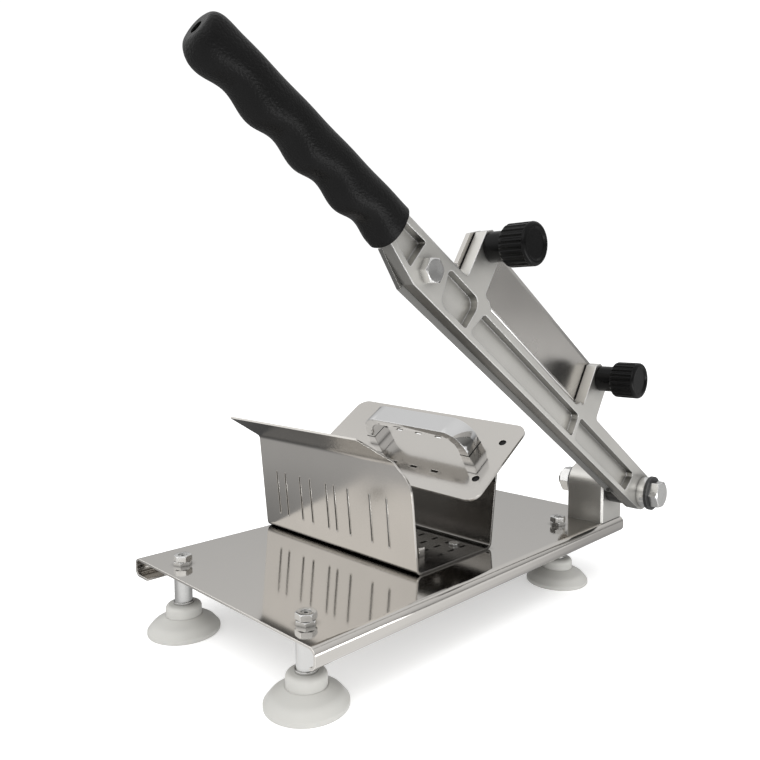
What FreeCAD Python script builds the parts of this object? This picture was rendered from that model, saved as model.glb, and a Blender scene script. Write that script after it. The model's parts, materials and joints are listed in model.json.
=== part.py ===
import FreeCAD, Part
import math
import os
import re
import Sketcher

# Hand lever slicer for frozen meat: a blade on a cast lever swings down past the front edge of a
# sheet steel base, and a trough on the base holds the meat.
# X runs along the base, Y runs to the back, Z is up. The origin is the base's centre, on the counter.

doc = FreeCAD.newDocument("LeverSlicer")
sheet = doc.addObject("Spreadsheet::Sheet", "Sizes")

# Driving dimensions, in millimetres and degrees
SIZES = {
    "base": {
        "base_length": 340, "base_width": 200, "base_top": 47, "base_sheet": 1.5,
        "base_skirt": 13, "base_lip": 17, "base_bend": 5, "lip_relief": 26,
    },
    "feet": {
        "foot_left": -153.5, "foot_right": 110, "foot_front": -72, "foot_back": 63,
        "stud_radius": 3, "stud_sink": 0.5, "stud_dimple": 1.25, "stud_dimple_depth": 2,
        "foot_nut_across": 11, "foot_nut_height": 3.4,
        "sleeve_radius": 6, "foot_washer_radius": 6.9, "foot_washer_height": 1.6,
        "cup_height": 20, "cup_collar_radius": 12, "cup_collar_height": 8, "cup_shoulder": 3,
        "cup_neck_radius": 12.8, "cup_bell_radius": 20.5, "cup_bell_height": 7.8,
        "cup_bell_curve": 8, "cup_rim_radius": 24.5, "cup_rim_height": 3, "cup_rim_width": 3,
        "cup_hollow": 3.4, "cup_stud_depth": 12, "thread_gap": 0.05,
    },
    "post and pivot": {
        "post_width": 32, "post_depth": 31.7, "post_setback": 2.6, "post_inset": 1.2,
        "post_edge": 1.5, "pivot_height": 75.9, "bolt_radius": 6,
        "post_screw_radius": 3, "post_screw_reach": 18, "post_screw_head_radius": 5.4,
        "post_screw_head": 3.4, "post_screw_spread": 16,
        "bush_radius": 12.5, "bush_length": 15.5, "bush_bore_gap": 0.05,
        "side_gap": 0.1, "spacer_radius": 12.3, "spacer_length": 6.2,
        "washer_radius": 13.4, "washer_height": 2.5, "bolt_head_across": 19, "bolt_head_height": 7.5,
        "bolt_nut_height": 10, "bolt_tail": 3, "pivot_running_gap": 0.05,
    },
    "lever": {
        "lever_angle": 32.5, "lever_thickness": 8, "lever_above": 14, "lever_below": 14.7,
        "lever_end_radius": 14.2, "kink_place": 316.7, "grip_start": 344, "kink_rise": 8.5,
        "lever_grip_above": 13, "waist_drop": 4, "waist_low_place": 130, "waist_high_place": 257,
        "waist_curve": 7, "tang_length": 92, "tang_above": 6, "tang_below": 6,
        "lug_height": 50.5, "lug_corner": 4, "lug_root": 3,
        "lug_low_place": 114, "lug_low_width": 21.5, "lug_high_place": 272.3, "lug_high_width": 19,
        "pocket_depth": 5.3, "pocket_rim": 3.6, "pocket_rim_above": 4.6, "pocket_curve": 3,
        "rib_width": 3.4, "boss_place": 309, "boss_half": 11.5, "hub_reach": 23,
        "blade_bolt_place": 311, "blade_bolt_drop": 2, "blade_bolt_radius": 4,
        "blade_bolt_across": 13, "blade_bolt_head": 5.3, "blade_nut_height": 6.5, "blade_bolt_tail": 2,
    },
    "blade": {
        "blade_thickness": 3, "blade_start": 22, "blade_above": 17, "blade_below": 17.2,
        "blade_end": 339, "blade_bevel": 9, "blade_edge": 0.3, "blade_heel": 8,
    },
    "grip": {
        "grip_length": 126, "grip_width": 23.8, "grip_tip_width": 21.2, "grip_above": 15,
        "grip_tip_above": 11.8, "grip_below": 9.7, "grip_ridge": 1.7, "grip_pitch": 28.7,
        "grip_first_ridge": 1.5, "grip_squareness": 0.84, "grip_round": 7, "grip_end_share": 0.6,
        "grip_hole_radius": 3, "grip_hole_depth": 9, "tang_gap": 0.1,
    },
    "thickness plate": {
        "gauge_thickness": 3, "gauge_gap": 0.8, "gauge_low": 18.5, "gauge_high": 51.5,
        "gauge_start": 105, "gauge_finish": 285, "gauge_corner": 8, "gauge_bevel": 1.2,
        "gauge_stud_height": 42, "gauge_stud_radius": 3, "gauge_stud_reach": 21,
        "gauge_stud_flange": 5.5, "gauge_stud_flange_height": 1.6, "lug_hole_gap": 0.3,
    },
    "knobs": {
        "knob_neck_radius": 9, "knob_neck_length": 12, "knob_head_radius": 12.5, "knob_head_length": 18,
        "knob_round": 2, "knob_flutes": 22, "knob_flute_radius": 1.3, "knob_dish_radius": 9.5,
        "knob_dish_depth": 1, "insert_radius": 5.5, "insert_length": 16, "knob_bore_end": 26,
        "insert_recess": 0.4,
    },
    "tray": {
        "tray_left": -58.5, "tray_right": 22.5, "tray_front": -69, "tray_back": 96,
        "tray_sheet": 1.5, "tray_lean": 5.5, "tray_far_lean": 7, "tray_bend": 5,
        "tray_bend_height": 122, "tray_flare_out": 27, "tray_flare_up": 17, "tray_far_top": 104,
        "tray_corner_start": 95, "tray_corner_back": 16, "tray_flare_back": 21, "tray_corner_curve": 18,
        "tray_flare_bend": 6,
        "slot_low": 62, "slot_high": 95.5, "slot_width": 1.4,
        "dimple_length": 7, "dimple_width": 2.2, "dimple_depth": 0.9, "dimple_columns": 5,
        "dimple_rows": 11, "dimple_pitch_across": 13, "dimple_pitch_along": 13.5,
        "tray_screw_radius": 2, "tray_screw_head_radius": 4, "tray_screw_head": 1.6,
        "tray_nut_across": 7, "tray_nut_height": 3.2, "tray_screw_tail": 1,
        "tray_screw_inset": 16, "tray_screw_end_inset": 22,
    },
    "pusher": {
        "pusher_length": 182, "pusher_width": 82, "pusher_sheet": 2, "pusher_corner": 10,
        "pusher_across_place": 31.1, "pusher_along_place": 19.3, "pusher_tilt": 34,
        "pusher_droop": 2.5, "pusher_seat": 0.3, "pusher_hole_radius": 3, "pusher_hole_inset": 12,
        "pusher_hole_half_spread": 20,
        "tooth_length": 7, "tooth_width": 2.4, "tooth_drop": 4, "tooth_pitch": 21.3, "tooth_count": 5,
        "tooth_row_high": 13.5, "tooth_row_low": -22.3, "tooth_first": -44,
        "handle_shift": 15.5, "handle_span": 110, "handle_height": 30, "handle_width": 17,
        "handle_thickness": 5, "handle_bend": 18,
        "handle_screw_radius": 2.5, "handle_screw_head_radius": 4.5, "handle_screw_head": 2.6,
        "handle_screw_reach": 12, "handle_foot": 10,
    },
}
GRIP_SECTION_POINTS = 16
GRIP_STATIONS = 21
GRIP_TIP_STATIONS = 3
SLOT_PLACES = (76.5, 66, 48, 36, 17.5, 8.5, -6, -28.4, -45)

row = 0
for part_name, sizes in SIZES.items():
    row += 1
    sheet.set(f"A{row}", part_name)
    for alias, size in sizes.items():
        row += 1
        sheet.set(f"A{row}", alias)
        sheet.set(f"B{row}", str(size))
        sheet.setAlias(f"B{row}", alias)
for number, place in enumerate(SLOT_PLACES, 1):
    row += 1
    sheet.set(f"B{row}", str(place))
    sheet.setAlias(f"B{row}", f"slot_place_{number}")
doc.recompute()

NODES = []


# Helpers: formulas of the sizes, and the bodies, sketches and features that use them
def formula(text):
    """Turn each size's name in a formula into its cell in the sheet."""
    return re.sub(r"[a-z]+(_[a-z0-9]+)+", lambda found: "Sizes." + found.group(), str(text))


def value(text):
    """Work out a formula now, as a number."""
    return float(sheet.evalExpression(formula(text)))


def bind(item, name, text):
    item.setExpression(name, formula(text))


def part(item, label):
    """Register an object as one node of the assembly."""
    item.Label = label
    NODES.append(item)
    return item


def body_named(label):
    return part(doc.addObject("PartDesign::Body", label), label)


def place(item, x="0", y="0", z="0"):
    bind(item, "Placement.Base.x", x)
    bind(item, "Placement.Base.y", y)
    bind(item, "Placement.Base.z", z)
    return item


def turn(item, axis, angle):
    """Turn an object about an axis through its own origin."""
    item.Placement.Rotation = FreeCAD.Rotation(axis, 1)
    bind(item, "Placement.Rotation.Angle", angle)
    return item


def new_sketch(body, name, role, depth="0"):
    """A sketch on one of the body's own origin planes, moved along its normal."""
    support = next(item for item in body.Origin.OriginFeatures if item.Role == role)
    sketch = body.newObject("Sketcher::SketchObject", name)
    sketch.AttachmentSupport = (support, "")
    sketch.MapMode = "FlatFace"
    bind(sketch, "AttachmentOffset.Base.z", depth)
    return sketch


def hold_point(sketch, geometry, point, x, y):
    """Fix a point of a sketch at formulas for its two coordinates."""
    for kind, text in (("DistanceX", x), ("DistanceY", y)):
        index = sketch.addConstraint(
            Sketcher.Constraint(kind, -1, 1, geometry, point, value(text)))
        bind(sketch, f"Constraints[{index}]", text)


def draw_outline(sketch, corners):
    """Draw a closed outline; a corner with a third entry is rounded by that radius."""
    spots = [FreeCAD.Vector(value(corner[0]), value(corner[1]), 0) for corner in corners]
    count = len(corners)
    tangents = []
    for i, corner in enumerate(corners):
        back = (spots[i - 1] - spots[i]).normalize()
        ahead = (spots[(i + 1) % count] - spots[i]).normalize()
        radius = value(corner[2]) if len(corner) > 2 else 0
        half = back.getAngle(ahead) / 2
        reach = radius / math.tan(half)
        centre = spots[i] + (back + ahead).normalize() * (radius / math.sin(half)) if radius else None
        tangents.append((spots[i] + back * reach, spots[i] + ahead * reach, radius, centre))
    sides = [sketch.addGeometry(Part.LineSegment(tangents[i][1], tangents[(i + 1) % count][0]))
             for i in range(count)]
    for i, corner in enumerate(corners):
        before = sides[i - 1]
        after = sides[i]
        first, second, radius, centre = tangents[i]
        if not radius:
            sketch.addConstraint(Sketcher.Constraint("Coincident", before, 2, after, 1))
            hold_point(sketch, after, 1, corner[0], corner[1])
            continue
        turns_left = (spots[i] - spots[i - 1]).cross(spots[(i + 1) % count] - spots[i]).z > 0
        start, finish = (first, second) if turns_left else (second, first)
        start_angle = math.atan2(start.y - centre.y, start.x - centre.x)
        finish_angle = math.atan2(finish.y - centre.y, finish.x - centre.x)
        circle = Part.Circle(centre, FreeCAD.Vector(0, 0, 1), radius)
        arc = sketch.addGeometry(Part.ArcOfCircle(circle, start_angle, finish_angle))
        point = sketch.addGeometry(Part.Point(spots[i]), True)
        near, far = (1, 2) if turns_left else (2, 1)
        sketch.addConstraint([
            Sketcher.Constraint("Tangent", before, 2, arc, near),
            Sketcher.Constraint("Tangent", arc, far, after, 1),
            Sketcher.Constraint("PointOnObject", point, 1, before),
            Sketcher.Constraint("PointOnObject", point, 1, after),
        ])
        index = sketch.addConstraint(Sketcher.Constraint("Radius", arc, radius))
        bind(sketch, f"Constraints[{index}]", corner[2])
        hold_point(sketch, point, 1, corner[0], corner[1])


def draw_circle(sketch, x, y, radius):
    spot = FreeCAD.Vector(value(x), value(y), 0)
    circle = sketch.addGeometry(Part.Circle(spot, FreeCAD.Vector(0, 0, 1), value(radius)))
    hold_point(sketch, circle, 3, x, y)
    index = sketch.addConstraint(Sketcher.Constraint("Radius", circle, value(radius)))
    bind(sketch, f"Constraints[{index}]", radius)


def box_corners(left, right, low, high, radius=None):
    ends = ((left, low), (right, low), (right, high), (left, high))
    return [end + ((radius,) if radius else ()) for end in ends]


def pad(body, sketch, length):
    """Fill a sketch along its normal."""
    feature = body.newObject("PartDesign::Pad", sketch.Name + "Pad")
    feature.Profile = sketch
    bind(feature, "Length", length)
    return feature


def pocket(body, sketch, depth, along_normal=False):
    """Cut a sketch against its normal, or along it."""
    feature = body.newObject("PartDesign::Pocket", sketch.Name + "Pocket")
    feature.Profile = sketch
    feature.Reversed = along_normal
    bind(feature, "Length", depth)
    return feature


def revolve(body, sketch):
    """Turn a sketch all the way round its own upright axis."""
    feature = body.newObject("PartDesign::Revolution", sketch.Name + "Revolution")
    feature.Profile = sketch
    feature.ReferenceAxis = (sketch, ["V_Axis"])
    feature.Angle = 360
    return feature


def repeat_linear(body, features, sketch, rows):
    """Repeat features along one or two directions of a sketch: (axis, pitch, count) each."""
    pattern = body.newObject("PartDesign::MultiTransform", sketch.Name + "Pattern")
    pattern.Originals = features
    steps = []
    for axis, pitch, count in rows:
        step = body.newObject("PartDesign::LinearPattern", sketch.Name + axis + "Step")
        step.Direction = (sketch, [axis])
        bind(step, "Length", f"({pitch}) * ({count} - 1)")
        bind(step, "Occurrences", count)
        steps.append(step)
    pattern.Transformations = steps
    body.Tip = pattern
    return pattern


def cylinder(name, radius, height, along_y=False):
    item = doc.addObject("Part::Cylinder", name)
    bind(item, "Radius", radius)
    bind(item, "Height", height)
    if along_y:
        turn(item, FreeCAD.Vector(1, 0, 0), "-90")
    return item


def cut(name, base, tool):
    item = doc.addObject("Part::Cut", name)
    item.Base = base
    item.Tool = tool
    return item


def fuse(name, items):
    item = doc.addObject("Part::MultiFuse", name)
    item.Shapes = items
    return item


def ring(name, outer, inner, height):
    """A plain ring round its own Z axis."""
    return cut(name, cylinder(name + "Outer", outer, height), cylinder(name + "Bore", inner, height))


def hexagon(name, across, height, both_ends):
    """A hexagon round its own Z axis, with its corners turned off at the far end, or at both."""
    prism = doc.addObject("Part::Prism", name + "Prism")
    prism.Polygon = 6
    bind(prism, "Circumradius", f"({across}) / sqrt(3)")
    bind(prism, "Height", height)
    cones = []
    for end in range(2 if both_ends else 1):
        cone = doc.addObject("Part::Cone", f"{name}Cone{end}")
        wide = f"({across}) / 2 + ({height}) * tan(60)"
        narrow = f"({across}) * 0.475"
        bind(cone, "Radius1", narrow if end else wide)
        bind(cone, "Radius2", wide if end else narrow)
        bind(cone, "Height", height)
        cones.append(cone)
    item = doc.addObject("Part::MultiCommon", name)
    item.Shapes = [prism] + cones
    return item


def nut(name, across, height, bore):
    return cut(name, hexagon(name + "Body", across, height, True), cylinder(name + "Bore", bore, height))


def hex_bolt(name, across, head, radius, reach):
    """A bolt round its own Z axis: its shank rises from zero and its head lies below."""
    head_piece = turn(hexagon(name + "Head", across, head, False), FreeCAD.Vector(1, 0, 0), "180")
    return fuse(name, [head_piece, cylinder(name + "Shank", radius, reach)])


def round_screw(name, radius, reach, head_radius, head):
    """A round headed screw that stands on its head: the shank rises from zero."""
    head_piece = cylinder(name + "Head", head_radius, head)
    bind(head_piece, "Placement.Base.z", f"-({head})")
    return fuse(name, [head_piece, cylinder(name + "Shank", radius, reach)])


def group(label, items):
    """Several equal pieces as one node."""
    item = doc.addObject("Part::Compound", label)
    item.Links = items
    return part(item, label)


# Places that several pieces share
PIVOT_X = "(base_length / 2 - post_inset - post_width / 2)"
POST_FRONT = "(post_setback - base_width / 2)"
BLADE_BACK = f"({POST_FRONT} - bush_length - side_gap)"
LEVER_BACK = f"({BLADE_BACK} - blade_thickness)"
LEVER_FRONT = f"({LEVER_BACK} - lever_thickness)"
KNOB_SEAT = f"({LEVER_FRONT} - side_gap)"
GAUGE_FRONT = f"({LEVER_BACK} + gauge_gap)"
FEET = [(x, y) for x in ("foot_left", "foot_right") for y in ("foot_front", "foot_back")]
POST_MIDDLE = f"({POST_FRONT} + post_depth / 2)"
TRAY_SCREWS = [(x, y)
               for x in ("(tray_left + tray_screw_inset)", "(tray_right - tray_screw_inset)")
               for y in ("(tray_front + tray_screw_end_inset)", "(tray_back - tray_screw_end_inset)")]
UNDERSIDE = "(base_top - base_sheet)"


def on_lever(item, y="0"):
    """Set an object in the lever's frame: X back from the grip to the pivot, Z square to it."""
    return place(turn(item, FreeCAD.Vector(0, 1, 0), "lever_angle"), PIVOT_X, y, "pivot_height")


def lever_pin(item, along, across, y):
    """Stand a round piece across the lever, at a distance from the pivot, with its Z to the back."""
    item.Placement.Rotation = FreeCAD.Rotation(FreeCAD.Vector(1, 0, 0), -90)
    return place(item,
                 f"{PIVOT_X} - ({along}) * cos(lever_angle) + ({across}) * sin(lever_angle)", y,
                 f"pivot_height + ({along}) * sin(lever_angle) + ({across}) * cos(lever_angle)")


# Base plate: one sheet, its long edges folded down and turned in under it
def make_base_plate():
    body = body_named("base_plate")
    edge = "base_width / 2"
    foot_line = "(base_top - base_skirt)"
    inner = "base_bend - base_sheet"
    profile = new_sketch(body, "BaseProfile", "YZ_Plane", "-base_length / 2")
    left = [(f"-({edge} - base_lip)", f"{foot_line} + base_sheet"),
            (f"-({edge} - base_sheet)", f"{foot_line} + base_sheet", inner),
            (f"-({edge} - base_sheet)", UNDERSIDE, inner)]
    right = [(f"{edge} - base_sheet", UNDERSIDE, inner),
             (f"{edge} - base_sheet", f"{foot_line} + base_sheet", inner),
             (f"{edge} - base_lip", f"{foot_line} + base_sheet"),
             (f"{edge} - base_lip", foot_line),
             (edge, foot_line, "base_bend"),
             (edge, "base_top", "base_bend"),
             (f"-({edge})", "base_top", "base_bend"),
             (f"-({edge})", foot_line, "base_bend"),
             (f"-({edge} - base_lip)", foot_line)]
    draw_outline(profile, left + right)
    pad(body, profile, "base_length")
    # The front lip stops short of both ends, beside the feet
    end = "base_length / 2"
    for side, tag in (("-", "Left"), ("", "Right")):
        relief = new_sketch(body, f"LipRelief{tag}", "XY_Plane", f"{foot_line} + base_sheet")
        corners = sorted((f"{side}({end})", f"{side}({end} - lip_relief)"), key=value)
        draw_outline(relief, box_corners(*corners, f"-({edge} - base_bend)",
                                         f"-({edge} - base_lip)"))
        pocket(body, relief, "base_sheet")
    holes = new_sketch(body, "BaseHoles", "XY_Plane", "base_top")
    for x, y in FEET:
        draw_circle(holes, x, y, "stud_radius + thread_gap")
    for x, y in TRAY_SCREWS:
        draw_circle(holes, x, y, "tray_screw_radius + thread_gap")
    for side in ("-", "+"):
        draw_circle(holes, f"{PIVOT_X} {side} post_screw_spread / 2", POST_MIDDLE,
                    "post_screw_radius + thread_gap")
    pocket(body, holes, "base_sheet")


# Feet: a stud through the plate with two thin nuts, a sleeve, a washer and a suction cup
def make_feet():
    studs = []
    nuts = []
    sleeves = []
    washers = []
    stud_top = "(base_top + 2 * foot_nut_height - stud_sink)"
    stud_low = "(cup_height - cup_stud_depth)"
    sleeve_low = "(cup_height + foot_washer_height)"
    for number, (x, y) in enumerate(FEET, 1):
        rod = cylinder(f"Stud{number}Rod", "stud_radius", f"{stud_top} - {stud_low}")
        dimple = place(cylinder(f"Stud{number}Dimple", "stud_dimple", "stud_dimple_depth"),
                       z=f"{stud_top} - {stud_low} - stud_dimple_depth")
        studs.append(place(cut(f"Stud{number}", rod, dimple), x, y, stud_low))
        for level in range(2):
            piece = nut(f"FootNut{number}{level}", "foot_nut_across", "foot_nut_height",
                        "stud_radius + thread_gap")
            nuts.append(place(piece, x, y, f"base_top + {level} * foot_nut_height"))
        sleeve = ring(f"Sleeve{number}", "sleeve_radius", "stud_radius + thread_gap",
                      f"{UNDERSIDE} - {sleeve_low}")
        sleeves.append(place(sleeve, x, y, sleeve_low))
        washer = ring(f"FootWasher{number}", "foot_washer_radius", "stud_radius + thread_gap",
                      "foot_washer_height")
        washers.append(place(washer, x, y, "cup_height"))
    group("foot_studs", studs)
    group("foot_nuts", nuts)
    group("foot_sleeves", sleeves)
    group("foot_washers", washers)


def make_suction_cups():
    """Four soft cups: a collar on the stud, a cone and a thick rim, hollow underneath."""
    cups = []
    collar_low = "(cup_height - cup_collar_height)"
    for number, (x, y) in enumerate(FEET, 1):
        body = doc.addObject("PartDesign::Body", f"Cup{number}")
        profile = new_sketch(body, f"CupProfile{number}", "XZ_Plane")
        draw_outline(profile, [
            ("0", "cup_hollow"),
            ("cup_rim_radius - cup_rim_width - cup_hollow", "cup_hollow"),
            ("cup_rim_radius - cup_rim_width", "0"),
            ("cup_rim_radius", "0", "cup_rim_height / 3"),
            ("cup_rim_radius", "cup_rim_height", "cup_rim_height / 3"),
            ("cup_bell_radius", "cup_bell_height", "cup_bell_curve"),
            ("cup_neck_radius", collar_low),
            ("cup_collar_radius", collar_low),
            ("cup_collar_radius", "cup_height", "cup_shoulder"),
            ("stud_radius + thread_gap", "cup_height"),
            ("stud_radius + thread_gap", "cup_height - cup_stud_depth"),
            ("0", "cup_height - cup_stud_depth")])
        revolve(body, profile)
        cups.append(place(body, x, y))
    group("suction_cups", cups)


# Pivot post: a solid block with a round head about the pivot, screwed on from below
def make_post():
    body = body_named("pivot_post")
    half = "post_width / 2"
    profile = new_sketch(body, "PostProfile", "XZ_Plane", f"-({POST_FRONT} + post_depth)")
    round_head = f"{half} - side_gap"
    draw_outline(profile, [
        (f"{PIVOT_X} - {half}", "base_top"),
        (f"{PIVOT_X} + {half}", "base_top"),
        (f"{PIVOT_X} + {half}", f"pivot_height + {half}", round_head),
        (f"{PIVOT_X} - {half}", f"pivot_height + {half}", round_head)])
    pad(body, profile, "post_depth")
    bore = new_sketch(body, "PostBore", "XZ_Plane", f"-({POST_FRONT})")
    draw_circle(bore, PIVOT_X, "pivot_height", "bolt_radius + thread_gap")
    pocket(body, bore, "post_depth")
    corner = new_sketch(body, "PostCorner", "XY_Plane", f"pivot_height + {half}")
    draw_outline(corner, [
        (f"{PIVOT_X} - {half}", POST_FRONT),
        (f"{PIVOT_X} - {half} + post_edge", POST_FRONT),
        (f"{PIVOT_X} - {half}", f"{POST_FRONT} + post_edge")])
    pocket(body, corner, f"pivot_height + {half} - base_top")
    holes = new_sketch(body, "PostScrewHoles", "XY_Plane", "base_top")
    for side in ("-", "+"):
        draw_circle(holes, f"{PIVOT_X} {side} post_screw_spread / 2", POST_MIDDLE,
                    "post_screw_radius + thread_gap")
    pocket(body, holes, "post_screw_reach - base_sheet", along_normal=True)
    screws = []
    for side in ("-", "+"):
        screw = round_screw("PostScrew" + ("A" if side == "-" else "B"), "post_screw_radius",
                            "post_screw_reach", "post_screw_head_radius", "post_screw_head")
        screws.append(place(screw, f"{PIVOT_X} {side} post_screw_spread / 2", POST_MIDDLE, UNDERSIDE))
    group("post_screws", screws)


# Pivot stack, from the front: bolt head, washer, spacer ring, lever, blade, bush, post, washer, nut
def make_pivot():
    spacer_front = f"({LEVER_FRONT} - side_gap - spacer_length)"
    washer_front = f"({spacer_front} - washer_height)"
    post_back = f"({POST_FRONT} + post_depth)"

    def on_pivot(item, y):
        item.Placement.Rotation = FreeCAD.Rotation(FreeCAD.Vector(1, 0, 0), -90)
        return place(item, PIVOT_X, y, "pivot_height")

    bore = "bolt_radius + thread_gap"
    reach = f"{post_back} + washer_height + bolt_nut_height + bolt_tail - {washer_front}"
    bolt = hex_bolt("pivot_bolt", "bolt_head_across", "bolt_head_height", "bolt_radius", reach)
    part(on_pivot(bolt, washer_front), "pivot_bolt")
    washers = [on_pivot(ring("FrontWasher", "washer_radius", bore, "washer_height"), washer_front),
               on_pivot(ring("BackWasher", "washer_radius", bore, "washer_height"), post_back)]
    group("pivot_washers", washers)
    spacer = ring("pivot_spacer", "spacer_radius", bore, "spacer_length")
    part(on_pivot(spacer, spacer_front), "pivot_spacer")
    bush = ring("pivot_bush", "bush_radius", "bolt_radius + bush_bore_gap", "bush_length")
    part(on_pivot(bush, f"{POST_FRONT} - bush_length"), "pivot_bush")
    lock = nut("pivot_nut", "bolt_head_across", "bolt_nut_height", bore)
    part(on_pivot(lock, f"{post_back} + washer_height"), "pivot_nut")


# Tray: one folded sheet, slotted near wall with a flared top, low far wall, embossed floor
def make_tray():
    body = body_named("meat_tray")
    floor = "base_top"
    bend = "tray_bend_height"
    near_shift = f"(({bend}) - base_top) * tan(tray_lean)"
    far_shift = "(tray_far_top - base_top) * tan(tray_far_lean)"
    tip_x = f"tray_left - {near_shift} - tray_flare_out"
    tip_z = f"{bend} + tray_flare_up"
    flare = "sqrt(tray_flare_out * tray_flare_out + tray_flare_up * tray_flare_up)"
    near_inner = f"(tray_left + tray_sheet / cos(tray_lean) + tray_sheet * tan(tray_lean))"
    profile = new_sketch(body, "TrayProfile", "XZ_Plane", "-tray_back")
    draw_outline(profile, [
        ("tray_left", floor, "tray_bend"),
        ("tray_right", floor, "tray_bend"),
        (f"tray_right + {far_shift}", "tray_far_top"),
        (f"tray_right + {far_shift} - tray_sheet * cos(tray_far_lean)",
         "tray_far_top + tray_sheet * sin(tray_far_lean)"),
        ("tray_right - tray_sheet * cos(tray_far_lean) - tray_sheet * 0.1",
         f"{floor} + tray_sheet", "tray_bend - tray_sheet"),
        ("tray_left + tray_sheet * cos(tray_lean) + tray_sheet * 0.1",
         f"{floor} + tray_sheet", "tray_bend - tray_sheet"),
        (f"tray_left - {near_shift} + tray_sheet * cos(tray_lean)", f"{bend} + tray_sheet / 2",
         "tray_flare_bend"),
        (f"{tip_x} + tray_sheet * tray_flare_up / {flare}",
         f"{tip_z} + tray_sheet * tray_flare_out / {flare}"),
        (tip_x, tip_z),
        (f"tray_left - {near_shift}", bend, "tray_flare_bend - tray_sheet")])
    pad(body, profile, "tray_back - tray_front")
    # The flare's and the near wall's front corner is rounded back
    corner = new_sketch(body, "TrayCorner", "YZ_Plane", "tray_left / 2")
    beyond = "(tray_front - 4 * tray_sheet)"
    above = f"({tip_z} + 4 * tray_sheet)"
    draw_outline(corner, [
        (beyond, "tray_corner_start"),
        ("tray_front", "tray_corner_start"),
        ("tray_front + 0.6", f"{bend} - 12", "tray_corner_curve"),
        ("tray_front + tray_corner_back", bend, "tray_corner_curve"),
        ("tray_front + tray_flare_back", tip_z, "tray_corner_curve / 2"),
        ("tray_front + tray_flare_back + 6", above),
        (beyond, above)])
    pocket(body, corner, "base_length / 2")
    slots = new_sketch(body, "TraySlots", "YZ_Plane", "tray_left / 2")
    for number in range(1, len(SLOT_PLACES) + 1):
        middle = f"slot_place_{number}"
        draw_outline(slots, box_corners(f"{middle} - slot_width / 2", f"{middle} + slot_width / 2",
                                        "slot_low", "slot_high"))
    pocket(body, slots, "base_length / 2")
    # Rows of short grooves pressed into the floor
    middle_x = "(tray_left + tray_right) / 2"
    first_x = f"{middle_x} - dimple_pitch_across * (dimple_columns - 1) / 2"
    first_y = "(tray_front + tray_back) / 2 - dimple_pitch_along * (dimple_rows - 1) / 2"
    dimple = new_sketch(body, "TrayDimple", "XY_Plane", f"{floor} + tray_sheet")
    draw_outline(dimple, box_corners(f"{first_x} - dimple_length / 2", f"{first_x} + dimple_length / 2",
                                     f"{first_y} - dimple_width / 2",
                                     f"{first_y} + dimple_width / 2"))
    first = pocket(body, dimple, "dimple_depth")
    repeat_linear(body, [first], dimple, (("H_Axis", "dimple_pitch_across", "dimple_columns"),
                                          ("V_Axis", "dimple_pitch_along", "dimple_rows")))
    holes = new_sketch(body, "TrayScrewHoles", "XY_Plane", f"{floor} + tray_sheet")
    for x, y in TRAY_SCREWS:
        draw_circle(holes, x, y, "tray_screw_radius + thread_gap")
    pocket(body, holes, "tray_sheet")


def make_tray_screws():
    screws = []
    nuts = []
    grip_length = "(tray_sheet + base_sheet + tray_nut_height + tray_screw_tail)"
    for number, (x, y) in enumerate(TRAY_SCREWS, 1):
        screw = round_screw(f"TrayScrew{number}", "tray_screw_radius", grip_length,
                            "tray_screw_head_radius", "tray_screw_head")
        turn(screw, FreeCAD.Vector(1, 0, 0), "180")
        screws.append(place(screw, x, y, "base_top + tray_sheet"))
        piece = nut(f"TrayNut{number}", "tray_nut_across", "tray_nut_height",
                    "tray_screw_radius + thread_gap")
        nuts.append(place(piece, x, y, f"{UNDERSIDE} - tray_nut_height"))
    group("tray_screws", screws)
    group("tray_nuts", nuts)


# Lever: a casting with a pocketed front face, two lugs on top and a tang inside the grip
def lever_corners():
    """The lever's outline, from the pivot end along the underside and back along the top."""
    lug_top = "lug_height"
    points = [
        ("lever_end_radius", "-lever_below", "lever_end_radius - side_gap"),
        ("lever_end_radius", "lever_above", "lever_end_radius - side_gap"),
    ]
    for lug in ("lug_low", "lug_high"):
        near = f"-({lug}_place - {lug}_width / 2)"
        far = f"-({lug}_place + {lug}_width / 2)"
        points += [(near, "lever_above", "lug_root"), (near, f"{lug_top} - lug_corner"),
                   (f"{near} - lug_corner", lug_top), (f"{far} + lug_corner", lug_top),
                   (far, f"{lug_top} - lug_corner")]
        if lug == "lug_low":
            points += [(far, "lever_above", "lug_root"),
                       ("-waist_low_place", "lever_above", "lug_root / 4"),
                       ("-(waist_low_place + waist_drop)", "lever_above - waist_drop", "waist_curve"),
                       ("-(waist_high_place - waist_drop)", "lever_above - waist_drop", "waist_curve"),
                       ("-waist_high_place", "lever_above", "lug_root / 4")]
        else:
            points += [(far, "lever_above", "lug_root")]
    points += [
        ("-grip_start", "lever_grip_above"),
        ("-grip_start", "tang_above"),
        ("-(grip_start + tang_length)", "tang_above", "tang_above / 2"),
        ("-(grip_start + tang_length)", "-tang_below", "tang_below / 2"),
        ("-grip_start", "-tang_below"),
        ("-grip_start", "kink_rise - lever_below"),
        ("-kink_place", "-lever_below"),
    ]
    return points


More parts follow.
